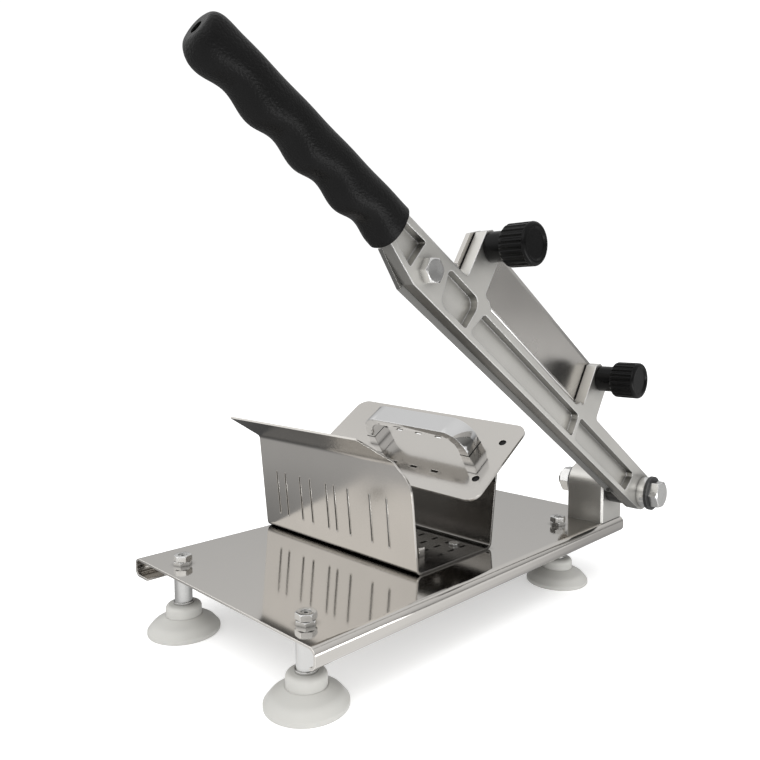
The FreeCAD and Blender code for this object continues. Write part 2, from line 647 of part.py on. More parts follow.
def make_lever():
    body = on_lever(body_named("lever_arm"))
    profile = new_sketch(body, "LeverProfile", "XZ_Plane", f"-({LEVER_BACK})")
    draw_outline(profile, lever_corners())
    pad(body, profile, "lever_thickness")
    floor = "pocket_rim - lever_below"
    waist_top = "lever_above - waist_drop - pocket_rim_above"
    top = "lever_above - pocket_rim_above"
    upper = new_sketch(body, "LeverPocketGrip", "XZ_Plane", f"-({LEVER_FRONT})")
    draw_outline(upper, [
        ("-(boss_place + boss_half)", "lever_grip_above - pocket_rim_above + 1", "pocket_curve / 3"),
        ("-(grip_start - 0.5)", "lever_grip_above - pocket_rim_above"),
        ("-(grip_start - 0.5)", "kink_rise - lever_below + pocket_rim"),
        ("-(boss_place + boss_half + 3)", f"{floor} + 2.6", "pocket_curve / 3")])
    pocket(body, upper, "pocket_depth")
    middle = new_sketch(body, "LeverPocketBoss", "XZ_Plane", f"-({LEVER_FRONT})")
    draw_outline(middle, [
        ("-(waist_high_place + rib_width * 2)", top, "pocket_curve * 2"),
        ("-(boss_place - boss_half)", top, "pocket_curve"),
        ("-(boss_place - boss_half - 4)", floor, "pocket_curve * 2"),
        ("-(waist_high_place + rib_width * 3)", floor, "pocket_curve")])
    pocket(body, middle, "pocket_depth")
    span = new_sketch(body, "LeverPocketSpan", "XZ_Plane", f"-({LEVER_FRONT})")
    draw_outline(span, [
        ("-(waist_low_place - rib_width)", waist_top, "pocket_curve"),
        ("-(waist_high_place)", waist_top, "pocket_curve"),
        ("-(waist_high_place + rib_width * 2)", floor, "pocket_curve"),
        ("-(waist_low_place - rib_width)", floor, "pocket_curve")])
    pocket(body, span, "pocket_depth")
    lower = new_sketch(body, "LeverPocketPivot", "XZ_Plane", f"-({LEVER_FRONT})")
    draw_outline(lower, [
        ("-hub_reach", waist_top, "pocket_curve"),
        ("-(waist_low_place - rib_width * 2)", waist_top, "pocket_curve"),
        ("-(waist_low_place - rib_width * 2)", floor, "pocket_curve"),
        ("-(hub_reach + 6)", floor, "pocket_curve")])
    pocket(body, lower, "pocket_depth")
    holes = new_sketch(body, "LeverHoles", "XZ_Plane", f"-({LEVER_FRONT})")
    draw_circle(holes, "0", "0", "bolt_radius + pivot_running_gap")
    draw_circle(holes, "-blade_bolt_place", "-blade_bolt_drop", "blade_bolt_radius + thread_gap")
    for lug in ("lug_low", "lug_high"):
        draw_circle(holes, f"-{lug}_place", "gauge_stud_height", "gauge_stud_radius + lug_hole_gap")
    pocket(body, holes, "lever_thickness")


# Blade: a bar behind the lever, its lower edge ground to a bevel
def make_blade():
    body = on_lever(body_named("blade"))
    profile = new_sketch(body, "BladeProfile", "XZ_Plane", f"-({BLADE_BACK})")
    rise = "(kink_rise + lever_below - blade_below)"
    draw_outline(profile, [
        ("lever_end_radius", "-lever_below", "lever_end_radius - side_gap"),
        ("lever_end_radius", "lever_above", "lever_end_radius - side_gap"),
        ("-(blade_start + blade_heel)", "lever_above"),
        ("-(blade_start + 2 * blade_heel)", "blade_above", "blade_heel"),
        ("-(boss_place - boss_half)", "blade_above", "blade_heel"),
        ("-(boss_place - boss_half + blade_heel)", "lever_above - lug_root"),
        ("-blade_end", "lever_grip_above - lug_root"),
        ("-blade_end", f"{rise} - lever_below + 1"),
        ("-kink_place", "-blade_below"),
        ("-(blade_start + 2 * blade_heel)", "-blade_below", "blade_heel"),
        ("-(blade_start + blade_heel)", "-lever_below")])
    pad(body, profile, "blade_thickness")
    bevel = new_sketch(body, "BladeBevel", "YZ_Plane", "-(blade_start + 2 * blade_heel)")
    draw_outline(bevel, [
        (f"{BLADE_BACK} - blade_edge", "-blade_below"),
        (f"{BLADE_BACK} - blade_edge", "-(blade_below + 1)"),
        (f"{LEVER_BACK} - 1", "-(blade_below + 1)"),
        (f"{LEVER_BACK} - 1", "blade_bevel - blade_below"),
        (LEVER_BACK, "blade_bevel - blade_below - 5.5")])
    pocket(body, bevel, "kink_place - blade_start - 2 * blade_heel")
    holes = new_sketch(body, "BladeHoles", "XZ_Plane", f"-({LEVER_BACK})")
    draw_circle(holes, "0", "0", "bolt_radius + pivot_running_gap")
    draw_circle(holes, "-blade_bolt_place", "-blade_bolt_drop", "blade_bolt_radius + thread_gap")
    pocket(body, holes, "blade_thickness")
    bolt = hex_bolt("blade_bolt", "blade_bolt_across", "blade_bolt_head", "blade_bolt_radius",
                    "lever_thickness + blade_thickness + blade_nut_height + blade_bolt_tail")
    part(lever_pin(bolt, "blade_bolt_place", "-blade_bolt_drop", LEVER_FRONT), "blade_bolt")
    lock = nut("blade_nut", "blade_bolt_across", "blade_nut_height", "blade_bolt_radius + thread_gap")
    part(lever_pin(lock, "blade_bolt_place", "-blade_bolt_drop", BLADE_BACK), "blade_nut")


# Grip: a moulded handle with finger waves underneath, lofted through rounded sections
def grip_section(along, top, low, half_width):
    """One closed section across the grip, a rounded rectangle square to its length."""
    middle_y = value(f"({LEVER_FRONT} + {LEVER_BACK}) / 2")
    squareness = value("grip_squareness")
    points = []
    for step in range(GRIP_SECTION_POINTS):
        angle = 2 * math.pi * step / GRIP_SECTION_POINTS
        across = math.copysign(abs(math.cos(angle)) ** squareness, math.cos(angle))
        up = math.copysign(abs(math.sin(angle)) ** squareness, math.sin(angle))
        points.append(FreeCAD.Vector(-along, middle_y + half_width * across,
                                     (top + low) / 2 + (top - low) / 2 * up))
    curve = Part.BSplineCurve()
    curve.interpolate(Points=points, PeriodicFlag=True)
    return Part.Wire(curve.toShape())


def make_grip():
    begin = value("grip_start + tang_gap")
    length = value("grip_length")
    straight = length - value("grip_round")

    def section(along, scale):
        share = along / length
        top = value("grip_above") + value("grip_tip_above - grip_above") * share
        width = value("grip_width") + value("grip_tip_width - grip_width") * share
        turns = (along - value("grip_first_ridge")) / value("grip_pitch")
        low = -value("grip_below") - value("grip_ridge") * math.cos(2 * math.pi * turns)
        middle = (top + low) / 2
        half = (top - low) / 2 * scale
        return grip_section(begin + along, middle + half, middle - half, width / 2 * scale)

    sections = [section(straight * step / GRIP_STATIONS, 1) for step in range(GRIP_STATIONS + 1)]
    for step in range(1, GRIP_TIP_STATIONS + 1):
        angle = math.pi / 2 * step / GRIP_TIP_STATIONS
        shrink = (1 - value("grip_end_share")) * (1 - math.cos(angle))
        sections.append(section(straight + value("grip_round") * math.sin(angle), 1 - shrink))
    solid = Part.makeLoft(sections, True, False)
    # Room for the lever's tang, and a hole in the tip
    gap = value("tang_gap")
    tang = Part.makeBox(value("tang_length") + 2 * gap, value("lever_thickness") + 2 * gap,
                        value("tang_above + tang_below") + 2 * gap,
                        FreeCAD.Vector(-value("grip_start + tang_length") - gap,
                                       value(LEVER_FRONT) - gap, -value("tang_below") - gap))
    hole = Part.makeCylinder(value("grip_hole_radius"), value("grip_hole_depth"),
                             FreeCAD.Vector(-begin - length, value(f"{LEVER_FRONT} + lever_thickness / 2"),
                                            value("(grip_tip_above - grip_below) / 2")),
                             FreeCAD.Vector(1, 0, 0))
    item = doc.addObject("Part::Feature", "grip")
    item.Shape = solid.cut(tang).cut(hole)
    on_lever(part(item, "grip"))


# Thickness plate: it slides in and out behind the lugs and sets how thick a slice is
def make_gauge():
    body = on_lever(body_named("thickness_plate"))
    profile = new_sketch(body, "GaugeProfile", "XZ_Plane", f"-({GAUGE_FRONT} + gauge_thickness)")
    draw_outline(profile, [
        ("-gauge_start", "gauge_low"),
        ("-gauge_start", "gauge_high"),
        ("-(gauge_finish - gauge_corner)", "gauge_high"),
        ("-gauge_finish", "gauge_high - gauge_corner"),
        ("-gauge_finish", "gauge_low + gauge_corner / 2"),
        ("-(gauge_finish - gauge_corner / 2)", "gauge_low")])
    pad(body, profile, "gauge_thickness")
    bevel = new_sketch(body, "GaugeBevel", "YZ_Plane", "-gauge_start")
    draw_outline(bevel, [
        (f"{GAUGE_FRONT} - 1", "gauge_high + 1"),
        (f"{GAUGE_FRONT} - 1", "gauge_high - gauge_bevel * 2.5"),
        (GAUGE_FRONT, "gauge_high - gauge_bevel * 2.5"),
        (f"{GAUGE_FRONT} + gauge_bevel", "gauge_high + 1")])
    pocket(body, bevel, "gauge_finish - gauge_start")
    holes = new_sketch(body, "GaugeHoles", "XZ_Plane", f"-({GAUGE_FRONT})")
    for lug in ("lug_low", "lug_high"):
        draw_circle(holes, f"-{lug}_place", "gauge_stud_height", "gauge_stud_radius")
    pocket(body, holes, "gauge_thickness")
    studs = []
    for lug in ("lug_low", "lug_high"):
        reach = "(gauge_gap + lever_thickness + gauge_stud_reach + gauge_thickness)"
        stud = round_screw(f"GaugeStud{lug[4:]}", "gauge_stud_radius", reach, "gauge_stud_flange",
                           "gauge_stud_flange_height")
        stud.Placement.Rotation = FreeCAD.Rotation(FreeCAD.Vector(1, 0, 0), 90)
        studs.append(place(
            stud,
            f"{PIVOT_X} - {lug}_place * cos(lever_angle) + gauge_stud_height * sin(lever_angle)",
            f"{GAUGE_FRONT} + gauge_thickness",
            f"pivot_height + {lug}_place * sin(lever_angle) + gauge_stud_height * cos(lever_angle)"))
    group("gauge_studs", studs)


# Knobs: a fluted head on a plain neck with a threaded insert, against the front of each lug
def make_knob(label, lug):
    body = body_named(label)
    tag = lug[4:].capitalize()
    profile = new_sketch(body, f"KnobProfile{tag}", "XZ_Plane")
    neck = "knob_neck_length"
    end = "(knob_neck_length + knob_head_length)"
    draw_outline(profile, [
        ("insert_radius", "0"),
        ("knob_neck_radius", "0", "knob_round / 4"),
        ("knob_neck_radius", neck),
        ("knob_head_radius", neck, "knob_round"),
        ("knob_head_radius", end, "knob_round"),
        ("knob_dish_radius", end),
        ("knob_dish_radius - knob_dish_depth", f"{end} - knob_dish_depth"),
        ("0", f"{end} - knob_dish_depth"),
        ("0", "knob_bore_end"),
        ("gauge_stud_radius + lug_hole_gap", "knob_bore_end"),
        ("gauge_stud_radius + lug_hole_gap", "insert_length"),
        ("insert_radius", "insert_length")])
    revolve(body, profile)
    flute = new_sketch(body, f"KnobFlute{tag}", "XY_Plane", neck)
    draw_circle(flute, "knob_head_radius + knob_flute_radius * 0.35", "0", "knob_flute_radius")
    groove = pocket(body, flute, "knob_head_length - knob_round", along_normal=True)
    pattern = body.newObject("PartDesign::PolarPattern", f"KnobFlutes{tag}")
    pattern.Originals = [groove]
    pattern.Axis = (flute, ["N_Axis"])
    pattern.Angle = 360
    bind(pattern, "Occurrences", "knob_flutes")
    body.Tip = pattern
    insert = ring(label.replace("knob", "knob_insert"), "insert_radius",
                  "gauge_stud_radius + thread_gap", "insert_length - insert_recess")
    part(insert, insert.Name)
    for item, sink in ((body, "0"), (insert, "insert_recess")):
        item.Placement.Rotation = FreeCAD.Rotation(FreeCAD.Vector(1, 0, 0), 90)
        place(item,
              f"{PIVOT_X} - {lug}_place * cos(lever_angle) + gauge_stud_height * sin(lever_angle)",
              f"{KNOB_SEAT} - {sink}",
              f"pivot_height + {lug}_place * sin(lever_angle) + gauge_stud_height * cos(lever_angle)")


# Pusher: a loose plate with a strap handle on top and teeth underneath, laid on the far wall
def pusher_height():
    """Height of the pusher's centre so that its underside just clears the far wall's top edge."""
    wall_x = "(tray_right + (tray_far_top - base_top) * tan(tray_far_lean))"
    wall_z = "(tray_far_top + tray_sheet * sin(tray_far_lean))"
    inner_x = f"({wall_x} - tray_sheet * cos(tray_far_lean))"
    rise = f"(({inner_x} - pusher_across_place) * tan(pusher_tilt))"
    droop = "((tray_front - pusher_along_place) * tan(pusher_droop) / cos(pusher_tilt))"
    return f"({wall_z} + pusher_seat / cos(pusher_tilt) - {rise} - {droop})"


def on_pusher(item, x="0", y="0", z="0", extra=None):
    """Set an object in the pusher's frame: tilted about Y, its front end a little lower."""
    tilt = FreeCAD.Rotation(FreeCAD.Vector(0, 1, 0), -value("pusher_tilt"))
    droop = FreeCAD.Rotation(FreeCAD.Vector(1, 0, 0), value("pusher_droop"))
    turned = tilt.multiply(droop)
    spot = turned.multVec(FreeCAD.Vector(value(x), value(y), value(z)))
    item.Placement = FreeCAD.Placement(spot, turned.multiply(extra) if extra else turned)
    bind(item, "Placement.Base.x", f"pusher_across_place + {spot.x}")
    bind(item, "Placement.Base.y", f"pusher_along_place + {spot.y}")
    bind(item, "Placement.Base.z", f"{pusher_height()} + {spot.z}")
    return item


def make_pusher():
    body = on_pusher(body_named("pusher_plate"))
    half_long = "pusher_length / 2"
    half_wide = "pusher_width / 2"
    profile = new_sketch(body, "PusherProfile", "XY_Plane")
    draw_outline(profile, box_corners(f"-{half_wide}", half_wide, f"-{half_long}", half_long,
                                      "pusher_corner"))
    pad(body, profile, "pusher_sheet")
    holes = new_sketch(body, "PusherHoles", "XY_Plane", "pusher_sheet")
    for side in ("-", ""):
        draw_circle(holes, f"{side}pusher_hole_half_spread", f"pusher_hole_inset - {half_long}",
                    "pusher_hole_radius")
    for foot in handle_feet():
        draw_circle(holes, "0", foot, "handle_screw_radius + thread_gap")
    pocket(body, holes, "pusher_sheet")
    # Teeth: tongues cut from the sheet and bent down
    for row_name in ("high", "low"):
        middle_x = f"tooth_row_{row_name}"
        first_y = "(-tooth_first - tooth_pitch * (tooth_count - 1))"
        window = new_sketch(body, f"ToothWindow{row_name}", "XY_Plane", "pusher_sheet")
        draw_outline(window, box_corners(
            f"{middle_x} - tooth_width / 2", f"{middle_x} + tooth_width / 2",
            f"{first_y} - tooth_length / 2", f"{first_y} + tooth_length / 2"))
        slit = pocket(body, window, "pusher_sheet")
        tongue = new_sketch(body, f"ToothTongue{row_name}", "YZ_Plane",
                            f"{middle_x} - tooth_width / 2 - pusher_sheet / 2")
        draw_outline(tongue, [
            (f"{first_y} - tooth_length / 2", "pusher_sheet / 2"),
            (f"{first_y}", "-tooth_drop"),
            (f"{first_y} + tooth_length / 2", "pusher_sheet / 2")])
        point = pad(body, tongue, "pusher_sheet / 2")
        repeat_linear(body, [slit, point], window, (("V_Axis", "tooth_pitch", "tooth_count"),))


def handle_feet():
    """The places of the handle's two feet along the pusher."""
    return [f"-handle_shift {side} (handle_span - handle_foot) / 2" for side in ("-", "+")]


def make_handle():
    """A flat strap bent into a low D, with its two feet on the plate."""
    body = on_pusher(body_named("pusher_handle"))
    half = "handle_span / 2"
    inner = "(handle_bend - handle_thickness)"
    profile = new_sketch(body, "HandleProfile", "YZ_Plane", "-handle_width / 2")
    seat = "pusher_sheet"
    top = "(pusher_sheet + handle_height)"
    lean = "handle_foot / 2"
    draw_outline(profile, [
        (f"-handle_shift - {half}", seat),
        (f"-handle_shift - {half} + handle_foot", seat),
        (f"-handle_shift - {half} + {lean} + handle_thickness", f"{top} - handle_thickness", inner),
        (f"-handle_shift + {half} - {lean} - handle_thickness", f"{top} - handle_thickness", inner),
        (f"-handle_shift + {half} - handle_foot", seat),
        (f"-handle_shift + {half}", seat),
        (f"-handle_shift + {half} - {lean}", top, "handle_bend"),
        (f"-handle_shift - {half} + {lean}", top, "handle_bend")])
    pad(body, profile, "handle_width")
    holes = new_sketch(body, "HandleHoles", "XY_Plane", seat)
    for foot in handle_feet():
        draw_circle(holes, "0", foot, "handle_screw_radius + thread_gap")
    pocket(body, holes, "handle_screw_reach - pusher_sheet + thread_gap", along_normal=True)
    screws = []
    for number, foot in enumerate(handle_feet(), 1):
        screw = round_screw(f"HandleScrew{number}", "handle_screw_radius", "handle_screw_reach",
                            "handle_screw_head_radius", "handle_screw_head")
        screws.append(on_pusher(screw, "0", foot, "0"))
    group("pusher_screws", screws)


def check_document():
    """Stop if any object failed, or if a cut took nothing away."""
    doc.recompute()
    for item in doc.Objects:
        if {"Invalid", "Error"} & set(item.State):
            raise RuntimeError(f"{item.Name} failed: {item.getStatusString()}")
        if item.TypeId == "PartDesign::Pocket" and item.BaseFeature:
            if item.Shape.Volume >= item.BaseFeature.Shape.Volume - 1e-6:
                raise RuntimeError(f"{item.Name} cuts nothing")
    for item in NODES:
        if item.Shape.isNull() or not item.Shape.isValid():
            raise RuntimeError(f"{item.Label} has no valid shape")


make_base_plate()
make_feet()
make_suction_cups()
make_post()
make_pivot()
make_tray()
make_tray_screws()
make_lever()
make_blade()
make_grip()
make_gauge()
make_knob("knob_upper", "lug_high")
make_knob("knob_lower", "lug_low")
make_pusher()
make_handle()
check_document()

os.makedirs("parts", exist_ok=True)
for node in NODES:
    node.Shape.exportStep(f"parts/{node.Label}.step")
    print(node.Label, len(node.Shape.Solids), round(node.Shape.Volume, 1))
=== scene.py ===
import json
import math

import bmesh
import bpy
from mathutils import Matrix, Vector


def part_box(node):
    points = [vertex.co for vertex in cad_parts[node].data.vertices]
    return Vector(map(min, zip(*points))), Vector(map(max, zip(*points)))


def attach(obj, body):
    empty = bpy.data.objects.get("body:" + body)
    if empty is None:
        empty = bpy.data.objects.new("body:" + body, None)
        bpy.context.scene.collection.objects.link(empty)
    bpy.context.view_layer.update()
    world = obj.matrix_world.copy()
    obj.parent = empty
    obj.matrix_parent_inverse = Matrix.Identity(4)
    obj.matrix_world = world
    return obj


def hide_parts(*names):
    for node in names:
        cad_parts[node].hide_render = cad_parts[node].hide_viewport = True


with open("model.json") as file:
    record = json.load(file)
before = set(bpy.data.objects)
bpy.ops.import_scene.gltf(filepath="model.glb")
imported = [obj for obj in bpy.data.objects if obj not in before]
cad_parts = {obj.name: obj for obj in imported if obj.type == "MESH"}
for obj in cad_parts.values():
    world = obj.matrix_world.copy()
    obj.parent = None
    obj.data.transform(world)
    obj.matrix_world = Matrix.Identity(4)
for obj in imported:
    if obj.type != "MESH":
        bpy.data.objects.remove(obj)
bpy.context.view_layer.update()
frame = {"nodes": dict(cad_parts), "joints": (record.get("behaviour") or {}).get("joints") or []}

bl_info = {
    "name": "Lever Meat Slicer",
    "version": (1, 0, 0),
    "blender": (4, 5, 0),
    "location": "3D View > Sidebar > Slicer",
    "description": "Finishes and fine pieces of a hand lever meat slicer, and its studio",
    "category": "Object",
}

NODES = frame["nodes"]
JOINTS = {joint["name"]: joint for joint in frame["joints"]}
LEVER_PIVOT = Vector(JOINTS["lever_pivot"]["pos_m"])
LEVER_ANGLE = math.radians(32.5)
# Places of the slots along the tray's near wall, from the back to the front
SLOT_PLACES = (0.0765, 0.066, 0.048, 0.036, 0.0175, 0.0085, -0.006, -0.0284, -0.045)
# Places of the handle's two seams along the pusher
SEAM_PLACES = (-0.0649, 0.0339)
# Turn of a stud's lower and upper nut, and how much further the next stud's nuts are turned
LOWER_NUT_TURN = 0.3
UPPER_NUT_TURN = 0.9
NUT_TURN_STEP = 1.0
# The tool that turns a nut's chamfer is this much wider than the nut
TOOL_MARGIN = 1.005
# Places nearer to each other than this are the same
NEAR = 0.000001

# Part of a noise's range that an effect spreads over its own range
NOISE_MIDDLE = (0.2, 0.8)
# Match of the rounded and the flat normal, from a flat face to a turned edge
EDGE_MATCH = (0.995, 0.90)
# Openness of a place, from a corner in full painted shade to an open face with none
CORNER_OPEN = (0.35, 0.92)
# Upward part of the normal, from an underside, which gets painted shade, to a face that isn't one
UNDERSIDE_TURN = (-0.6, -0.2)
# Smudges are this much finer than the clouds of tone
SMUDGE_FINENESS = 1.7
# Clouds, smudges and rounded edges of the moulded pieces
MOULDED_CLOUD = 35.0
MOULDED_SMUDGES = 60.0
MOULDED_EDGE = 0.0004
# Light painted shade in the corners of a piece, and none on its underside
LIGHT_PAINTED_SHADE = {"Reach": 0.004, "Corner": 0.5, "Underside": 1.0}
# Painted shade inside the tray: the level its floor's and far wall's colour is multiplied by, and the
# distance over which the near wall's colour fades into it
INSIDE_SHADE = 0.34
INSIDE_FADE = 0.006

# What polished metal sees of the studio: grey levels by height, by side, and on the floor
ROOM_HEIGHTS = ((0.0, 0.16), (0.10, 0.28), (0.20, 0.48), (0.42, 0.68), (0.75, 0.78), (1.0, 0.85))
ROOM_WINDOW = ((0.90, 0.0), (0.965, 0.9))
ROOM_WALL = ((0.55, 0.0), (0.95, 0.55))
FLOOR_LEVELS = ((0.34, 0.92), (0.42, 0.78), (0.47, 0.52), (0.63, 0.45))
DIM_PATCH = ((0.16, 0.22), (0.42, 1.0))


# Settings
def length_setting(name, description, default):
    return bpy.props.FloatProperty(name=name, description=description, default=default,
                                   subtype="DISTANCE", unit="LENGTH", precision=5)


def angle_setting(name, description, default):
    return bpy.props.FloatProperty(name=name, description=description, default=default,
                                   subtype="ANGLE", unit="ROTATION")


def number_setting(name, description, default):
    return bpy.props.FloatProperty(name=name, description=description, default=default)


def place_setting(name, description, default, subtype="TRANSLATION"):
    return bpy.props.FloatVectorProperty(name=name, description=description, default=default,
                                         size=len(default), subtype=subtype, unit="LENGTH")


def direction_setting(name, description, default):
    return bpy.props.FloatVectorProperty(name=name, description=description, default=default,
                                         size=3, subtype="DIRECTION")


def color_setting(name, description, default):
    return bpy.props.FloatVectorProperty(name=name, description=description, default=default,
                                         size=3, subtype="COLOR")


class SlicerStudio(bpy.types.PropertyGroup):
    camera_place: place_setting("Camera place", "Where the camera stands",
                                (-0.3920, -0.3724, 0.2165))
    camera_heading: angle_setting("Camera heading", "Turn from the base's length to its back", 0.775)
    camera_dip: angle_setting("Camera dip", "How far the camera looks down", 0.074)
    camera_lens: number_setting("Lens", "Focal length in millimetres", 33.35)
    camera_sensor: number_setting("Sensor", "Width of the camera's sensor in millimetres", 36.0)
    camera_shift: bpy.props.FloatVectorProperty(
        name="Shift", description="Sideways and upward shift of the picture", size=2,
        default=(-0.0154, -0.0130))
    floor_size: length_setting("Floor size", "Length of the studio floor's sides", 400.0)
    floor_color: color_setting("Floor colour", "Colour of the studio floor", (0.93, 0.93, 0.93))
    floor_glow: number_setting("Floor glow", "Light that the studio floor gives off", 0.36)
    floor_run: direction_setting("Floor run", "Direction in which the metal sees the floor change",
                                 (0.5, 0.85, 0.0))
    floor_reach: length_setting("Floor reach", "How far that change runs from the middle", 0.5)
    dim_place: place_setting("Dim place", "Where the metal sees the floor dimmest",
                             (0.15, 0.22, 0.0))
    dome_light: number_setting("Dome light", "Brightness of the white dome", 1.06)
    window_side: direction_setting("Window side", "Direction of the bright window in the metal",
                                   (-0.72, -0.35, 0.60))
    wall_side: direction_setting("Wall side", "Direction of the pale wall in the metal",
                                 (-0.74, 0.62, 0.27))
    key_place: place_setting("Key place", "Where the key light hangs", (-1.2, -0.5, 1.7))
    key_target: place_setting("Key target", "What the key light looks at", (0.0, -0.05, 0.12))
    key_size: place_setting("Key size", "Width and height of the key light", (1.0, 1.0), "XYZ")
    key_power: number_setting("Key power", "Power of the key light in watts", 14.0)
    band_place: place_setting("Band place", "Where the low front light stands",
                              (-0.05, -0.50, 0.02))
    band_target: place_setting("Band target", "What the low front light looks at",
                               (-0.18, -0.12, 0.29))
    band_size: place_setting("Band size", "Width and height of the low light", (0.5, 0.16), "XYZ")
    band_power: number_setting("Band power", "Power of the low front light in watts", 0.9)


class SlicerFinishes(bpy.types.PropertyGroup):
    sheet_color: color_setting("Sheet", "Colour of the polished sheet steel", (0.68, 0.655, 0.62))
    cast_color: color_setting("Casting", "Colour of the tumbled castings", (0.80, 0.785, 0.745))
    steel_color: color_setting("Fasteners", "Colour of the bright turned steel",
                               (0.82, 0.815, 0.80))
    blade_color: color_setting("Blade", "Colour of the ground blade", (0.36, 0.355, 0.34))
    spine_color: color_setting("Blade spine", "Colour of the blade's bright spine",
                               (0.95, 0.94, 0.92))
    dark_color: color_setting("Dark steel", "Colour of the blackened washers and bush",
                              (0.10, 0.10, 0.10))
    chrome_color: color_setting("Chrome", "Colour of the chromed handle", (0.72, 0.72, 0.72))
    brass_color: color_setting("Inserts", "Colour of the knobs' threaded inserts",
                               (0.55, 0.40, 0.18))
    black_color: color_setting("Black plastic", "Colour of the grip and the knobs",
                               (0.0025, 0.0025, 0.0025))
    rubber_color: color_setting("Suction cups", "Colour of the soft cups", (0.50, 0.495, 0.47))


class SlicerPieces(bpy.types.PropertyGroup):
    nut_across: length_setting("Nut width", "Across the flats of a foot nut", 0.011)
    nut_height: length_setting("Nut height", "Height that a foot nut is modelled at", 0.0032)
    nut_chamfer: length_setting("Nut chamfer", "Turned chamfer of a foot nut", 0.0010)
    nut_share: number_setting("Lower nut", "Lower nut's share of the two nuts' height", 0.4)
    nut_seam: number_setting("Nut seam", "Share of the height left open between two nuts", 0.04)
    stud_radius: length_setting("Nut bore", "Radius of a foot nut's hole", 0.00305)
    lip_radius: length_setting("Lip radius", "Half width of the lip round a slot", 0.0009)
    lip_thickness: length_setting("Lip thickness", "Radius of the lip's own section", 0.0003)
    slot_low: length_setting("Slot foot", "Height of the slots' lower end", 0.062)
    slot_high: length_setting("Slot head", "Height of the slots' upper end", 0.0955)
    wall_foot: length_setting("Wall foot", "Place of the tray's near wall", -0.0585)
    wall_lean: angle_setting("Wall lean", "Lean of the tray's near wall", math.radians(5.5))
    tray_sheet: length_setting("Tray sheet", "Thickness of the tray's sheet", 0.0015)
    stop_width: length_setting("Stop width", "Width of the stop on the tray's floor", 0.0055)
    stop_sheet: length_setting("Stop sheet", "Thickness of the stop", 0.0016)
    stop_height: length_setting("Stop height", "Height of the stop above the floor", 0.0065)
    stop_rounding: length_setting("Stop rounding", "Radius of the stop's edges", 0.00048)
    stop_place: place_setting("Stop place", "Place of the stop on the floor", (-0.030, -0.047))
    spine_start: length_setting("Spine start", "From the pivot to the spine's low end", 0.128)
    spine_end: length_setting("Spine end", "From the pivot to the spine's high end", 0.258)
    spine_radius: length_setting("Spine radius", "Radius of the blade's rounded spine", 0.0012)
    spine_rounding: length_setting("Spine rounding", "Radius of the spine's ends", 0.00096)
    spine_above: length_setting("Spine height", "Height of the spine above the lever's line", 0.0165)
    spine_depth: length_setting("Spine depth", "Place of the spine from front to back", -0.1158)
    pusher_place: place_setting("Pusher place", "Middle of the pusher's underside",
                                (0.0311, 0.0193, 0.11128))
    pusher_tilt: angle_setting("Pusher tilt", "Tilt of the pusher over the far wall",
                               math.radians(34))
    pusher_droop: angle_setting("Pusher droop", "Drop of the pusher's front end",
                                math.radians(2.5))
    # Dark discs in the pusher's two front holes, which paint the shade seen through them
    shade_disc_radius: length_setting("Plug radius", "Radius of the plugs in the pusher's holes", 0.0030)
    shade_disc_height: length_setting("Plug height", "Height of a plug", 0.001)
    shade_disc_rounding: length_setting("Plug rounding", "Radius of a plug's upper edge", 0.0003)
    shade_disc_side: length_setting("Plug side", "From the pusher's middle line to a plug", 0.020)
    shade_disc_along: length_setting("Plug place", "Place of the plugs along the pusher", -0.079)
    shade_disc_rise: length_setting("Plug rise", "Height of a plug above the underside", 0.0006)
    seam_size: place_setting("Seam size", "Size of the seam round a handle foot",
                             (0.0173, 0.0089, 0.0008), "XYZ")
    seam_rounding: length_setting("Seam rounding", "Radius of a seam's edges", 0.00015)
    seam_rise: length_setting("Seam rise", "Height of a seam above the underside", 0.011)
    handle_rounding: length_setting("Handle rounding", "Radius of the chromed handle's edges",
                                    0.0009)
    handle_corner: angle_setting("Handle corner", "Edges that turn more than this are rounded",
                                 math.radians(50))
    weld_distance: length_setting("Weld", "Corners of the handle nearer than this are one", 0.00001)


# Nodes that the materials share
def feed(tree, socket, value):
    """Link an input to another socket, or set its value."""
    if isinstance(value, bpy.types.NodeSocket):
        tree.links.new(value, socket)
    else:
        socket.default_value = value


def noise(tree, vector, scale, detail):
    """A noise texture on a vector."""
    texture = tree.nodes.new("ShaderNodeTexNoise")
    for name, value in (("Vector", vector), ("Scale", scale), ("Detail", detail)):
        feed(tree, texture.inputs[name], value)
    return texture.outputs["Fac"]


def map_range(tree, source, start, end, low=0.0, high=1.0, easing="LINEAR"):
    """A value that goes from low to high while the source goes from start to end."""
    node = tree.nodes.new("ShaderNodeMapRange")
    node.interpolation_type = easing
    for name, value in (("Value", source), ("From Min", start), ("From Max", end),
                        ("To Min", low), ("To Max", high)):
        feed(tree, node.inputs[name], value)
    return node.outputs["Result"]


def calculate(tree, operation, *values):
    """The result of a Math node."""
    node = tree.nodes.new("ShaderNodeMath")
    node.operation = operation
    for socket, value in zip(node.inputs, values):
        feed(tree, socket, value)
    return node.outputs[0]


def measure(tree, operation, first, second):
    """The dot product or the distance of two vectors."""
    node = tree.nodes.new("ShaderNodeVectorMath")
    node.operation = operation
    feed(tree, node.inputs[0], first)
    feed(tree, node.inputs[1], second)
    return node.outputs["Value"]


def blend_color(tree, factor, first, second, mode="MIX"):
    """The colour socket of a mix of two colours."""
    mix = tree.nodes.new("ShaderNodeMix")
    mix.data_type = "RGBA"
    mix.blend_type = mode
    for name, value in (("Factor", factor), ("A", first), ("B", second)):
        feed(tree, mix.inputs[name], value)
    return mix.outputs["Result"]


